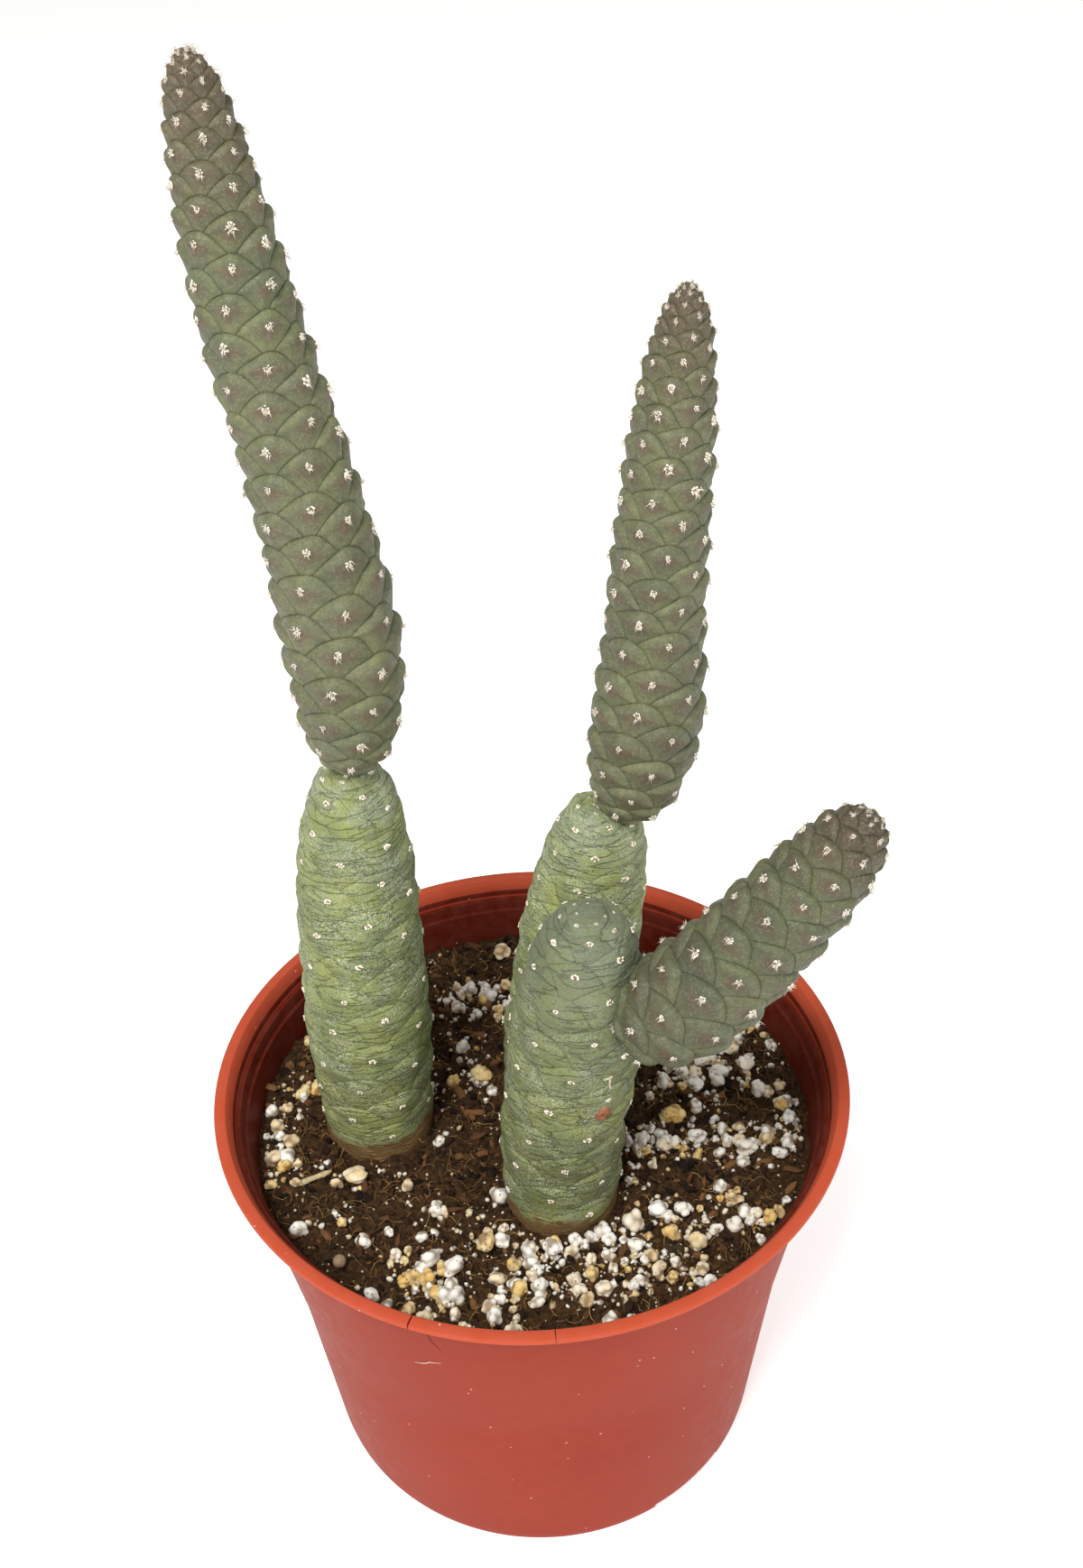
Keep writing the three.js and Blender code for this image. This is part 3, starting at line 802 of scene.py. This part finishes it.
def areole_axes(stem, angle, rise, lift):
    """The areole's place on the skin, and its sideways, upward and outward directions."""
    higher = stem.place(np.array(angle), np.array(min(rise + 0.05, stem.climb[-1])), np.array(lift))
    here = stem.place(np.array(angle), np.array(rise), np.array(lift))
    out = stem.place(np.array(angle), np.array(rise), np.array(lift + 1.0)) - here
    up = higher - here
    up = up - out * (up @ out)
    up /= np.linalg.norm(up) + 1e-9
    return here, np.cross(up, out), up, out


def add_tuft(gather, axes, rng, across, along, height, size, heart):
    """A rough lump of wool at a place on the areole."""
    here, side, up, out = axes
    shape = turned(TUFT_POINTS, rng)
    shape = shape * (1 + 0.3 * rng.uniform(-1, 1, len(TUFT_POINTS)))[:, None] * size
    middle = here + side * across + up * along + out * height
    shape = shape[:, :1] * side + shape[:, 1:2] * up + 0.8 * shape[:, 2:] * out
    gather.add(middle + shape, TUFT_FACES, heart=heart)


def add_glochid(gather, root, aim, side, thick, length):
    """A fine bristle: a long thin pyramid."""
    flank = np.cross(aim, side)
    flank /= np.linalg.norm(flank)
    other = np.cross(aim, flank)
    corners = [root + thick * (math.cos(a) * flank + math.sin(a) * other) for a in (0, TAU / 3, 2 * TAU / 3)]
    gather.add(np.array(corners + [root + aim * length]), GLOCHID_FACES, heart=0.05)


def add_areole(gather, stem, centre, rng, young):
    """Tufts of wool in a ring round a dark heart, with short glochids that mostly hang."""
    angle, rise, lift = centre
    axes = areole_axes(stem, angle, rise, lift)
    here, side, up, out = axes
    fit = float(np.clip(stem.girth_radius(rise) / 9, 0.35, 1)) * rng.uniform(0.8, 1.2)
    wide, tall, thick = fit * (YOUNG_AREOLE if young else OLD_AREOLE)
    add_tuft(gather, axes, rng, 0, 0, 0.1 * thick, 0.62 * wide, rng.uniform(0.6, 1.0))
    tufts = rng.integers(6, 9)
    gap = rng.uniform(0, TAU)
    for k in range(tufts):
        turn = gap + (TAU - 0.7) * k / tufts + rng.normal(0, 0.12)
        reach = rng.uniform(0.75, 1.05)
        across, along = reach * wide * math.cos(turn), reach * tall * math.sin(turn)
        height = rng.uniform(0.2, 0.8) * thick
        size = rng.uniform(0.26, 0.44) * wide
        add_tuft(gather, axes, rng, across, along, height, size, rng.uniform(0, 0.35) ** 2)
    at_tip = max(0.0, float(stem.share(rise)) - 0.9) * 10 if young else 0.0
    for _ in range(rng.integers(12, 20) if young else rng.integers(0, 4)):
        root = here + side * rng.normal(0, 0.5) * wide
        root = root + up * rng.uniform(-0.9, 0.9) * tall + out * thick * 0.5
        aim = 0.55 * out + up * (rng.uniform(-1.5, 0.5) + at_tip) + side * rng.normal(0, 0.4)
        aim /= np.linalg.norm(aim)
        length = rng.uniform(0.7, 1.7) * (fit + 0.6 * at_tip) * (1 if young else 0.5)
        add_glochid(gather, root, aim, side, 0.09 * fit + 0.02, length)


def build_areoles(name, stems, slot, material):
    gather = Gather("heart")
    rng = scatter(len(name))
    for stem, centres in stems:
        for centre in centres:
            here = stem.place(np.array(centre[0]), np.array(centre[1]), np.array(0.0))
            if here[2] > SOIL_LEVEL + 4 and rng.uniform() < (1.0 if not stem.old else 0.92):
                add_areole(gather, stem, centre, rng, not stem.old)
    gather.piece(name, [], slot, material)


# ---------------------------------------------------------------- marks of age

SCAB = {"angle": -62, "above_soil": 41, "wide": 1.9, "tall": 2.5, "thick": 0.5}
OUTSIDE = 40  # well clear of a stem's skin, from its middle
DRY_MARK = {"angle": -63, "above_soil": 52.5, "bar": 1.2, "drop": 3.6, "radius": 0.3}


def skin_spot(skin, stem, degrees, above_soil, beside=0.0):
    """The skin's place at an angle and a height over the soil, with its sideways, upward and outward ways."""
    middle = stem.middle_at(SOIL_LEVEL + above_soil)
    spoke = np.array([math.cos(math.radians(degrees)), math.sin(math.radians(degrees)), 0])
    side = np.array([-spoke[1], spoke[0], 0])
    start = Vector((middle + spoke * OUTSIDE + side * beside) * MM)
    hit, normal, _, _ = skin.ray_cast(start, Vector(-spoke))
    out = np.array(normal[:])
    out = out * np.sign(out @ spoke)
    up = np.array([0, 0, 1.0]) - out * out[2]
    up /= np.linalg.norm(up)
    return np.array(hit[:]) / MM, np.cross(up, out), up, out


def build_age_marks(stem):
    """A dry reddish scab on the front plant, and over it a pale dry mark of two strokes."""
    mesh = bpy.data.objects["front_lower_skin"].data
    skin = BVHTree.FromPolygons([vertex.co[:] for vertex in mesh.vertices],
                                [face.vertices[:] for face in mesh.polygons])
    here, side, up, out = skin_spot(skin, stem, SCAB["angle"], SCAB["above_soil"])
    base, faces = ball(3)
    lump = base * (1 + 0.35 * rough(base * 1.6 + 4, 1.0, 61)[:, None])
    points = here + lump[:, :1] * SCAB["wide"] * side + lump[:, 1:2] * SCAB["tall"] * up
    points = points + lump[:, 2:] * SCAB["thick"] * out
    scab = weathered("dry_scab", "b87e58", "6b3825", 0.0011, 0.7)
    make_piece("stem_scab", points, faces, [], scab)
    pale = weathered("dry_mark", "d6cdb6", "a8a088", 0.0007, 0.85)
    gather = Gather()
    bar, drop, level = DRY_MARK["bar"], DRY_MARK["drop"], DRY_MARK["above_soil"]
    strokes = (
        [(x, level + 0.1 * x) for x in np.linspace(-bar, bar, 7)],
        [(0.4 + 0.08 * k, level - drop * k / 7) for k in range(8)],
    )
    for stroke in strokes:
        spots = [skin_spot(skin, stem, DRY_MARK["angle"], height, beside)[0] for beside, height in stroke]
        radii = np.full(len(spots), DRY_MARK["radius"])
        radii[[0, -1]] *= 0.4
        gather.add(*strand(spots, radii, 6))
    gather.piece("dry_marks", [], "lower_skin", pale)


# ---------------------------------------------------------------- the pot

COLLAR = 9.0  # the height of the wider band under the rim
LIP = 1.7  # the flat lip's thickness
BAND = POT_TOP - COLLAR
HALF = POT_TOP / 2
FOOT, WAIST, SHOULDER, NECK = 60.1, 66.1, 74.0, 75.6  # outer radii: foot, half way up, below and on the band
WALL = 1.3
POT_FLOOR = 3.5
DRAINS = (-49.5, 70.5, 190.5)  # the drain slots' directions, in degrees
NICKS = ((-110.5, 0.30, 75.5, 2.1), (-87.0, 0.16, 76.6, 1.9))  # direction and width in degrees, reach, depth


def pot_outline():
    """The pot's outline from the middle of its underside, up the outside, and down the inside."""
    top, rim, under = POT_TOP, RIM_RADIUS, POT_TOP - LIP
    points = [(0, 0), (15.4, 0), (16, 0.4), (16.8, 1.8), (17.4, 2), (54, 2), (54.6, 1.6), (55, 0.3),
              (55.3, 0), (59, 0), (59.8, 0.35), (FOOT, 1.1)]
    points += [(FOOT + (WAIST - FOOT) * t, HALF * t) for t in np.linspace(0.05, 1, 12)]
    points += [(WAIST + (SHOULDER - WAIST) * t, HALF + (BAND - HALF) * t) for t in np.linspace(0.1, 1, 10)]
    points += [(SHOULDER + 0.2, BAND + 0.05), (SHOULDER + 0.7, BAND + 0.2), (SHOULDER + 0.85, BAND + 0.6)]
    points += [(NECK - 0.3, under - 2.6), (NECK + 0.1, under - 1.5), (NECK + 1.1, under - 0.6),
               (rim - 2.2, under - 0.1), (rim - 0.5, under), (rim - 0.15, under + 0.12), (rim, under + 0.45),
               (rim, top - 0.5), (rim - 0.12, top - 0.16), (rim - 0.45, top), (rim - 2.5, top),
               (rim - 2.8, top - 0.12), (rim - 3, top - 0.4), (rim - 3.6, top - 1.2)]
    points += [(NECK - 0.45, top - 4.9), (NECK - 0.7, top - 5.2), (NECK - 1.5, top - 5.4),
               (NECK - 1.7, top - 5.8), (NECK - 2.2, BAND + 0.9), (NECK - 2.5, BAND + 0.6),
               (NECK - 2.9, BAND + 0.4), (NECK - 3, BAND)]
    inner = WAIST - WALL
    points += [(inner + (SHOULDER - WAIST) * t, HALF + (BAND - HALF) * t) for t in (0.9, 0.6, 0.3, 0)]
    inner = FOOT - WALL
    points += [(inner + 0.6, 8), (inner - 0.4, 4.6), (inner - 1.5, POT_FLOOR), (0, POT_FLOOR)]
    return points


def pot_marks(points):
    """Where the pot is its inside, for painted shade, and where it is its lip, for painted light."""
    radius, z = np.hypot(points[:, 0], points[:, 1]), points[:, 2]
    middles = [FOOT - 0.9, WAIST - 0.7, SHOULDER - 0.8, RIM_RADIUS - 2.6]
    in_wall = np.interp(z, [0, HALF, BAND, POT_TOP], middles)
    rim = z > POT_TOP - LIP - 0.3
    inside = (radius < in_wall) & (z > POT_FLOOR + 1.5) & ~rim
    return {"inside": inside, "rim": rim}


def lathe(outline, sides):
    """A closed body turned from an outline that starts and ends on the axis."""
    angles = TAU * np.arange(sides) / sides
    points = [(0, 0, outline[0][1])]
    for radius, z in outline[1:-1]:
        points += [(radius * math.cos(a), radius * math.sin(a), z) for a in angles]
    points.append((0, 0, outline[-1][1]))
    return np.array(points, dtype=float), turned_faces(len(outline) - 2, sides)


def sector_block(inner, outer, low, high, middle, width, cuts=8):
    """A block over one sector of a ring, for cutting; angles in degrees."""
    angles = np.radians(np.linspace(middle - width / 2, middle + width / 2, cuts + 1))
    ring = [(inner * math.cos(a), inner * math.sin(a)) for a in angles]
    ring += [(outer * math.cos(a), outer * math.sin(a)) for a in reversed(angles)]
    count = len(ring)
    points = [(x, y, low) for x, y in ring] + [(x, y, high) for x, y in ring]
    faces = [tuple(range(count)), tuple(reversed(range(count, 2 * count)))]
    faces += [(k, k + count, (k + 1) % count + count, (k + 1) % count) for k in range(count)]
    return np.array(points), faces


def carve(piece, points, faces):
    """Cuts one block out of a piece and keeps the result as its mesh."""
    mesh = bpy.data.meshes.new("cutter")
    mesh.from_pydata((points * MM).tolist(), [], faces)
    shape = bmesh.new()
    shape.from_mesh(mesh)
    bmesh.ops.recalc_face_normals(shape, faces=shape.faces)
    shape.to_mesh(mesh)
    shape.free()
    cutter = bpy.data.objects.new("cutter", mesh)
    bpy.context.scene.collection.objects.link(cutter)
    modifier = piece.modifiers.new("carve", "BOOLEAN")
    modifier.object = cutter
    modifier.operation = "DIFFERENCE"
    modifier.solver = "EXACT"
    depsgraph = bpy.context.evaluated_depsgraph_get()
    carved = bpy.data.meshes.new_from_object(piece.evaluated_get(depsgraph))
    piece.modifiers.clear()
    piece.data = carved
    bpy.data.objects.remove(cutter)


def build_pot(material):
    """The pot, turned in one piece, then cut: the foot and the floor at each drain, and the lip's nicks."""
    points, faces = lathe(pot_outline(), 160)
    points[:, :2] += POT_CENTRE
    piece = make_piece("pot_body", points, faces, ["pot"], material)
    cutters = []
    for middle in DRAINS:
        cutters.append(sector_block(52, 64, -1, 2.4, middle, 23))
        cutters.append(sector_block(44, 54, 0.5, 5, middle, 19))
    for middle, width, reach, depth in NICKS:
        cutters.append(sector_block(reach, RIM_RADIUS + 2, POT_TOP - depth, POT_TOP + 1, middle, width, 1))
    for block, sides in cutters:
        carve(piece, block, sides)
    mesh = piece.data
    places = np.zeros(len(mesh.vertices) * 3)
    mesh.vertices.foreach_get("co", places)
    write_marks(mesh, pot_marks(places.reshape(-1, 3) / MM))
    mesh.polygons.foreach_set("use_smooth", [True] * len(mesh.polygons))
    mesh.set_sharp_from_angle(angle=math.radians(32))


def wall_outside(z):
    """The outer wall's radius at a height."""
    heights = [0, HALF, BAND, BAND + 0.8, POT_TOP - LIP - 2.6]
    return np.interp(z, heights, [FOOT, WAIST, SHOULDER, SHOULDER + 0.85, NECK - 0.3])


def wall_thread(name, start, end, wander, radius, proud, material):
    """A fine line on the pot's wall between two places, each an angle in degrees and a height."""
    steps = np.linspace(0, 1, 24)[:, None]
    places = np.array(start) * (1 - steps) + np.array(end) * steps
    sway = uneven(np.hstack([steps * 9, steps * 0, steps * 0]), 2, 71)
    angle = np.radians(places[:, 0] + wander * sway * np.sin(math.pi * steps[:, 0]))
    reach = wall_outside(places[:, 1]) + proud
    spots = np.stack([reach * np.cos(angle), reach * np.sin(angle), places[:, 1]], axis=1)
    points, faces = strand(spots, radius * np.sin(math.pi * (0.06 + 0.88 * steps[:, 0])), 5)
    make_piece(name, points, faces, [], material)


def build_wall_marks():
    """A hairline crack that runs down from a nick in the lip, and a stray pale thread on the wall."""
    crack = weathered("crack_shadow", "5a1a0f", "360f09", 0.002, 0.8)
    thread = weathered("pale_thread", "e9d5cb", "c9a597", 0.002, 0.8)
    wall_thread("pot_crack", (-111.6, POT_TOP - 3.6), (-107.2, POT_TOP - 19.5), 0.5, 0.14, -0.04, crack)
    wall_thread("pot_thread", (-114.1, POT_TOP - 28), (-108.1, POT_TOP - 24), 0.7, 0.12, 0.06, thread)


# ---------------------------------------------------------------- the soil

SOIL_EDGE = 62  # from this radius the soil sinks towards the pot's wall
SOIL_SIDE = ((65.2, 60), (60, 20), (57, 4.6), (56, POT_FLOOR + 0.3))  # its hidden side, as (radius, height)
STEM_REACH = 15.0  # loose bits keep about this far from the middle of a stem
STEM_SPOTS = [Stem(node).middle_at(SOIL_LEVEL)[:2] for node in SEGMENTS if SEGMENTS[node]["old"]]


def soil_height(x, y):
    spot = np.stack([x, y, np.zeros_like(x)], axis=-1)
    height = SOIL_LEVEL - 0.5 + 0.7 * uneven(spot, 17, 21) + 0.8 * uneven(spot, 6.5, 22)
    height += 0.95 * uneven(spot, 2.8, 23) + 0.75 * uneven(spot, 1.3, 24) + 0.3 * uneven(spot, 0.7, 25)
    edge = np.clip((np.hypot(x, y) - SOIL_EDGE) / (SOIL_RADIUS - SOIL_EDGE), 0, 1)
    return height - 0.8 * edge


def height_at(x, y):
    return float(soil_height(np.array(float(x)), np.array(float(y))))


def build_soil(material):
    """The soil as one closed body: a crumbly top, and the side and underside that the pot hides."""
    rings, sides = 104, 320
    angles = TAU * np.arange(sides) / sides
    points = [np.array([[0, 0, height_at(0, 0)]])]
    for ring in range(1, rings + 1):
        radius = SOIL_RADIUS * (ring / rings) ** 0.8
        x, y = radius * np.cos(angles), radius * np.sin(angles)
        points.append(np.stack([x, y, soil_height(x, y)], axis=1))
    for radius, z in SOIL_SIDE:
        points.append(np.stack([radius * np.cos(angles), radius * np.sin(angles), np.full(sides, z)], axis=1))
    points.append(np.array([[0, 0, SOIL_SIDE[-1][1]]]))
    points = np.vstack(points)
    points[:, :2] += POT_CENTRE
    # the points run from the top down, so the faces turn the other way
    faces = [(face[0], *face[:0:-1]) for face in turned_faces(rings + len(SOIL_SIDE), sides)]
    make_piece("soil_bed", points, faces, ["soil"], material)


def free_spot(rng, reach, margin):
    """A chance place on the soil, clear of the stems and the wall."""
    while True:
        x, y = rng.uniform(-reach, reach, 2)
        clear = all(math.hypot(x - spot[0], y - spot[1]) > STEM_REACH + margin for spot in STEM_SPOTS)
        if clear and math.hypot(x, y) <= reach:
            return x, y


def build_crumbs(material):
    """Crumbs of peat that break up the surface."""
    gather = Gather("tone")
    rng = scatter(31)
    for count, small, large, (base, faces) in ((560, 0.8, 1.7, ball(2)), (2600, 0.3, 1.0, ball(1))):
        for _ in range(count):
            x, y = free_spot(rng, SOIL_RADIUS - 1.5, -0.8)
            size = rng.uniform(small, large)
            lump = turned(base, rng) * (1 + 0.6 * rough(base * 2 + rng.uniform(0, 99, 3), 0.9, 6)[:, None])
            lump = turned(lump * size * np.array([rng.uniform(0.8, 1.9), rng.uniform(0.5, 0.9), 0.45]), rng)
            lump = lump + np.array([x, y, height_at(x, y) + 0.2 * size])
            gather.add(lump, faces, tone=rng.uniform(0, 1) ** 2)
    gather.piece("peat_crumbs", [], "soil", material)


def build_fibres(material):
    """Fine root and peat fibres that curl over the surface."""
    gather = Gather("tone")
    rng = scatter(32)
    for _ in range(1700):
        x, y = free_spot(rng, SOIL_RADIUS - 3, 0)
        length = rng.uniform(2.0, 9.5)
        heading, curl = rng.uniform(0, TAU), rng.normal(0, 0.42)
        spots = []
        count = 7
        arch = rng.uniform(0.3, 1.6)
        for k in range(count):
            rise = math.sin(math.pi * k / (count - 1)) * arch
            spots.append((x, y, height_at(x, y) + 0.25 + rise))
            heading += curl + rng.normal(0, 0.25)
            x += math.cos(heading) * length / count
            y += math.sin(heading) * length / count
        if math.hypot(x, y) > SOIL_RADIUS - 1:
            continue
        radii = rng.uniform(0.05, 0.13) * (1 - 0.7 * np.linspace(0, 1, count))
        body, faces = strand(spots, radii)
        gather.add(body, faces, tone=rng.uniform(0, 1) ** 1.5)
    gather.piece("peat_fibres", [], "soil", material)


def popcorn(base, rng):
    """A knobbly grain, a ball with bumps pushed out of it, and how deep each point lies between them."""
    bumps = rng.normal(size=(12, 3))
    bumps /= np.linalg.norm(bumps, axis=1)[:, None]
    away = np.arccos(np.clip(base @ bumps.T, -1, 1))
    swell = np.max(np.cos(np.clip(away / 0.52, 0, math.pi / 2)) * rng.uniform(0.55, 1, 12), axis=1)
    reach = 0.66 + 0.34 * swell + 0.09 * uneven(base * 3 + rng.uniform(0, 50, 3), 1, 9)
    return base * reach[:, None] * rng.uniform(0.75, 1.25, 3), np.clip(1 - 1.6 * swell, 0, 1)


def perlite_tone(rng):
    return rng.uniform(0, 0.45) if rng.uniform() < 0.5 else rng.uniform(0.45, 1.0)


def large_grains():
    return sorted(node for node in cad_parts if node.startswith("perlite_"))


def build_large_perlite(material):
    gather = Gather("tone", "dent", "soiled")
    rng = scatter(41)
    base, faces = ball(4)
    grains = large_grains()
    for node in grains:
        low, high = box_mm(node)
        shape, dent = popcorn(base, rng)
        shape -= (shape.max(axis=0) + shape.min(axis=0)) / 2
        shape *= (high - low) * 1.1 / (shape.max(axis=0) - shape.min(axis=0))
        centre = (low + high) / 2
        sink = height_at(centre[0], centre[1]) - (low[2] + 0.25 * (high[2] - low[2]))
        # the lower part of the grain, for its soil stain and painted shade
        soiled = np.clip(-0.1 - 1.6 * shape[:, 2] / (high[2] - low[2]), 0, 1)
        shape = shape + centre + np.array([0, 0, max(-1.6, min(0, sink))])
        gather.add(shape, faces, tone=perlite_tone(rng), dent=dent, soiled=soiled)
    gather.piece("perlite_large", grains, "perlite", material)


def drift_at(x, y, heaps):
    """How thickly small grains lie at a place: most of all round the large grains and in front."""
    near = np.exp(-np.sum((heaps - (x, y)) ** 2, axis=1) / 6.5**2).sum()
    front = math.exp(-(((x - 6) / 30) ** 2) - ((y + 46) / 13) ** 2)
    behind = math.exp(-((x / 26) ** 2) - ((y - 44) / 16) ** 2)
    patchy = float(uneven(np.array([x, y, 0.0]), 8, 51))
    return 0.06 + 0.30 * near + 0.46 * front + 0.22 * behind + 0.34 * patchy


def build_loose_perlite(name, count, small, large, base, faces, seed, material):
    """Smaller grains, in drifts."""
    gather = Gather("tone", "dent", "soiled")
    rng = scatter(seed)
    heaps = np.array([sum(box_mm(node))[:2] / 2 for node in large_grains()])
    placed = 0
    while placed < count:
        x, y = free_spot(rng, SOIL_RADIUS - 2.5, 0.6)
        if rng.uniform() > drift_at(x, y, heaps):
            continue
        placed += 1
        size = small + (large - small) * rng.uniform() ** 1.6
        shape, dent = popcorn(base, rng)
        shape = turned(shape, rng)
        # the lower part of the grain, for its soil stain and painted shade
        soiled = np.clip(0.25 - shape[:, 2] + 0.5 * rng.uniform(-1, 1), 0, 1)
        shape = shape * size + np.array([x, y, height_at(x, y) + 0.4 * size])
        gather.add(shape, faces, tone=perlite_tone(rng), dent=dent, soiled=soiled)
    gather.piece(name, [], "perlite", material)


def build_litter():
    """The pebble, the bark flake and the wood splinter."""
    base, faces = ball(4)
    pebble_stone = weathered("pebble_stone", "a08a6c", "7b6347", 0.002, 0.6)
    bark = weathered("bark", "25241c", "4b3a24", 0.0015, 0.85)
    dry_wood = weathered("dry_wood", "cdbd98", "a08a63", 0.0012, 0.8)
    for node, material, slot, name in (
        ("pebble", pebble_stone, "pebble", "pebble_grit"),
        ("bark_flake", bark, "bark", "bark_piece"),
        ("wood_splinter", dry_wood, "splinter", "wood_sliver"),
    ):
        low, high = box_mm(node)
        if node == "wood_splinter":
            points, sides = sliver(low, high)
            make_piece(name, points, sides, [node], material, smooth=False)
            continue
        shape = base * (1 + (0.04 if node == "pebble" else 0.4) * rough(base * 2 + 7, 0.9, 3)[:, None])
        shape -= (shape.max(axis=0) + shape.min(axis=0)) / 2
        shape *= (high - low) / (shape.max(axis=0) - shape.min(axis=0))
        make_piece(name, shape + (low + high) / 2, faces, [node], material, smooth=node == "pebble")


def sliver(low, high):
    """A split sliver of wood across its box's diagonal, ragged at its ends."""
    start = np.array([low[0], low[1], low[2]]) + np.array([0.4, 0.6, 0.4])
    end = np.array([high[0], high[1], low[2]]) + np.array([-0.4, -0.8, 0.4])
    along = (end - start) / np.linalg.norm(end - start)
    across = np.array([-along[1], along[0], 0])
    points, faces = [], []
    count = 12
    for k in range(count):
        t = k / (count - 1)
        wide = 0.75 * min(1, 0.35 + 5 * t, 0.2 + 4.5 * (1 - t)) * (1 + 0.12 * math.sin(9 * t))
        middle = start + (end - start) * t + across * 0.12 * math.sin(5 * t)
        for side, z in ((-1, 0), (1, 0), (0.8, 0.5), (0.1, 0.68), (-0.75, 0.45)):
            points.append(middle + across * side * wide + np.array([0, 0, z]))
    for k in range(count - 1):
        for side in range(5):
            a, b = k * 5 + side, k * 5 + (side + 1) % 5
            faces.append((a, b, b + 5, a + 5))
    faces.append((4, 3, 2, 1, 0))
    faces.append(tuple(range((count - 1) * 5, count * 5)))
    return np.array(points), faces


# ---------------------------------------------------------------- the stage

def build_stage():
    bpy.ops.mesh.primitive_plane_add(size=40)
    floor = bpy.context.object
    floor.name = "floor"
    white = Finish("floor_white", 0.9, 0.1, "ffffff")
    white.set({"Base Color": (0.92, 0.92, 0.92, 1)})
    white.set({"Emission Color": (1, 0.99, 0.98, 1), "Emission Strength": 0.5})
    floor.data.materials.append(white.material)


def add_light(name, place, aim, size, power, tint=(1, 1, 1)):
    light = bpy.data.lights.new(name, "AREA")
    light.energy = power
    light.size = size
    light.color = tint
    lamp = bpy.data.objects.new(name, light)
    lamp.location = place
    lamp.rotation_euler = (Vector(aim) - Vector(place)).to_track_quat("-Z", "Y").to_euler()
    bpy.context.scene.collection.objects.link(lamp)


def build_lights():
    world = bpy.data.worlds.new("studio")
    world.use_nodes = True
    background = world.node_tree.nodes["Background"]
    background.inputs["Color"].default_value = (1, 1, 1, 1)
    background.inputs["Strength"].default_value = 0.46
    bpy.context.scene.world = world
    add_light("key", (-0.38, -0.70, 1.35), (0, 0, 0.15), 0.5, 19, (1, 0.985, 0.96))
    add_light("fill", (0.9, -0.9, 0.8), (0, 0, 0.15), 1.0, 5)


CAMERA_PLACE = Vector((5.05, -291.9, 416.4)) * MM
CAMERA_AIM = Vector((5.05, 123.8, 114.7)) * MM
CAMERA_LENS, CAMERA_SENSOR = 37.3, 36
CAMERA_ROLL = math.radians(-1.92)


def build_camera():
    """Looks down at the pot from in front, tipped by a small roll."""
    data = bpy.data.cameras.new("camera")
    data.lens = CAMERA_LENS
    data.sensor_width = CAMERA_SENSOR
    camera = bpy.data.objects.new("camera", data)
    bpy.context.scene.collection.objects.link(camera)
    facing = (CAMERA_AIM - CAMERA_PLACE).to_track_quat("-Z", "Y").to_matrix()
    facing = facing @ Matrix.Rotation(CAMERA_ROLL, 3, "Z")
    camera.matrix_world = Matrix.Translation(CAMERA_PLACE) @ facing.to_4x4()
    bpy.context.scene.camera = camera


def build_plants():
    young, old, wool = young_skin(), old_skin(), areole_wool()
    grown = {}
    for node in SEGMENTS:
        is_old = SEGMENTS[node]["old"]
        grown[node] = build_segment(node, old if is_old else young)
    for plant, nodes in (
        ("left", ("left_lower_segment", "left_upper_segment")),
        ("middle", ("middle_lower_segment", "middle_upper_segment")),
        ("front", ("front_lower_segment", "front_branch_segment")),
    ):
        build_areoles(plant + "_areoles", [grown[node] for node in nodes], "upper_skin", wool)
    build_age_marks(grown["front_lower_segment"][0])


build_camera()
build_stage()
build_lights()
bpy.context.scene.view_settings.view_transform = "Standard"
build_pot(pot_plastic())
build_wall_marks()
build_soil(peat())
build_crumbs(toned("peat_crumb", "160e08", "7a5433"))
build_fibres(toned("peat_fibre", "46301a", "d0a766"))
FOAM = perlite_foam()
build_large_perlite(FOAM)
build_loose_perlite("perlite_medium", 390, 1.0, 2.7, *ball(3), 42, FOAM)
build_loose_perlite("perlite_small", 1450, 0.3, 1.15, *ball(1), 43, FOAM)
build_litter()
build_plants()
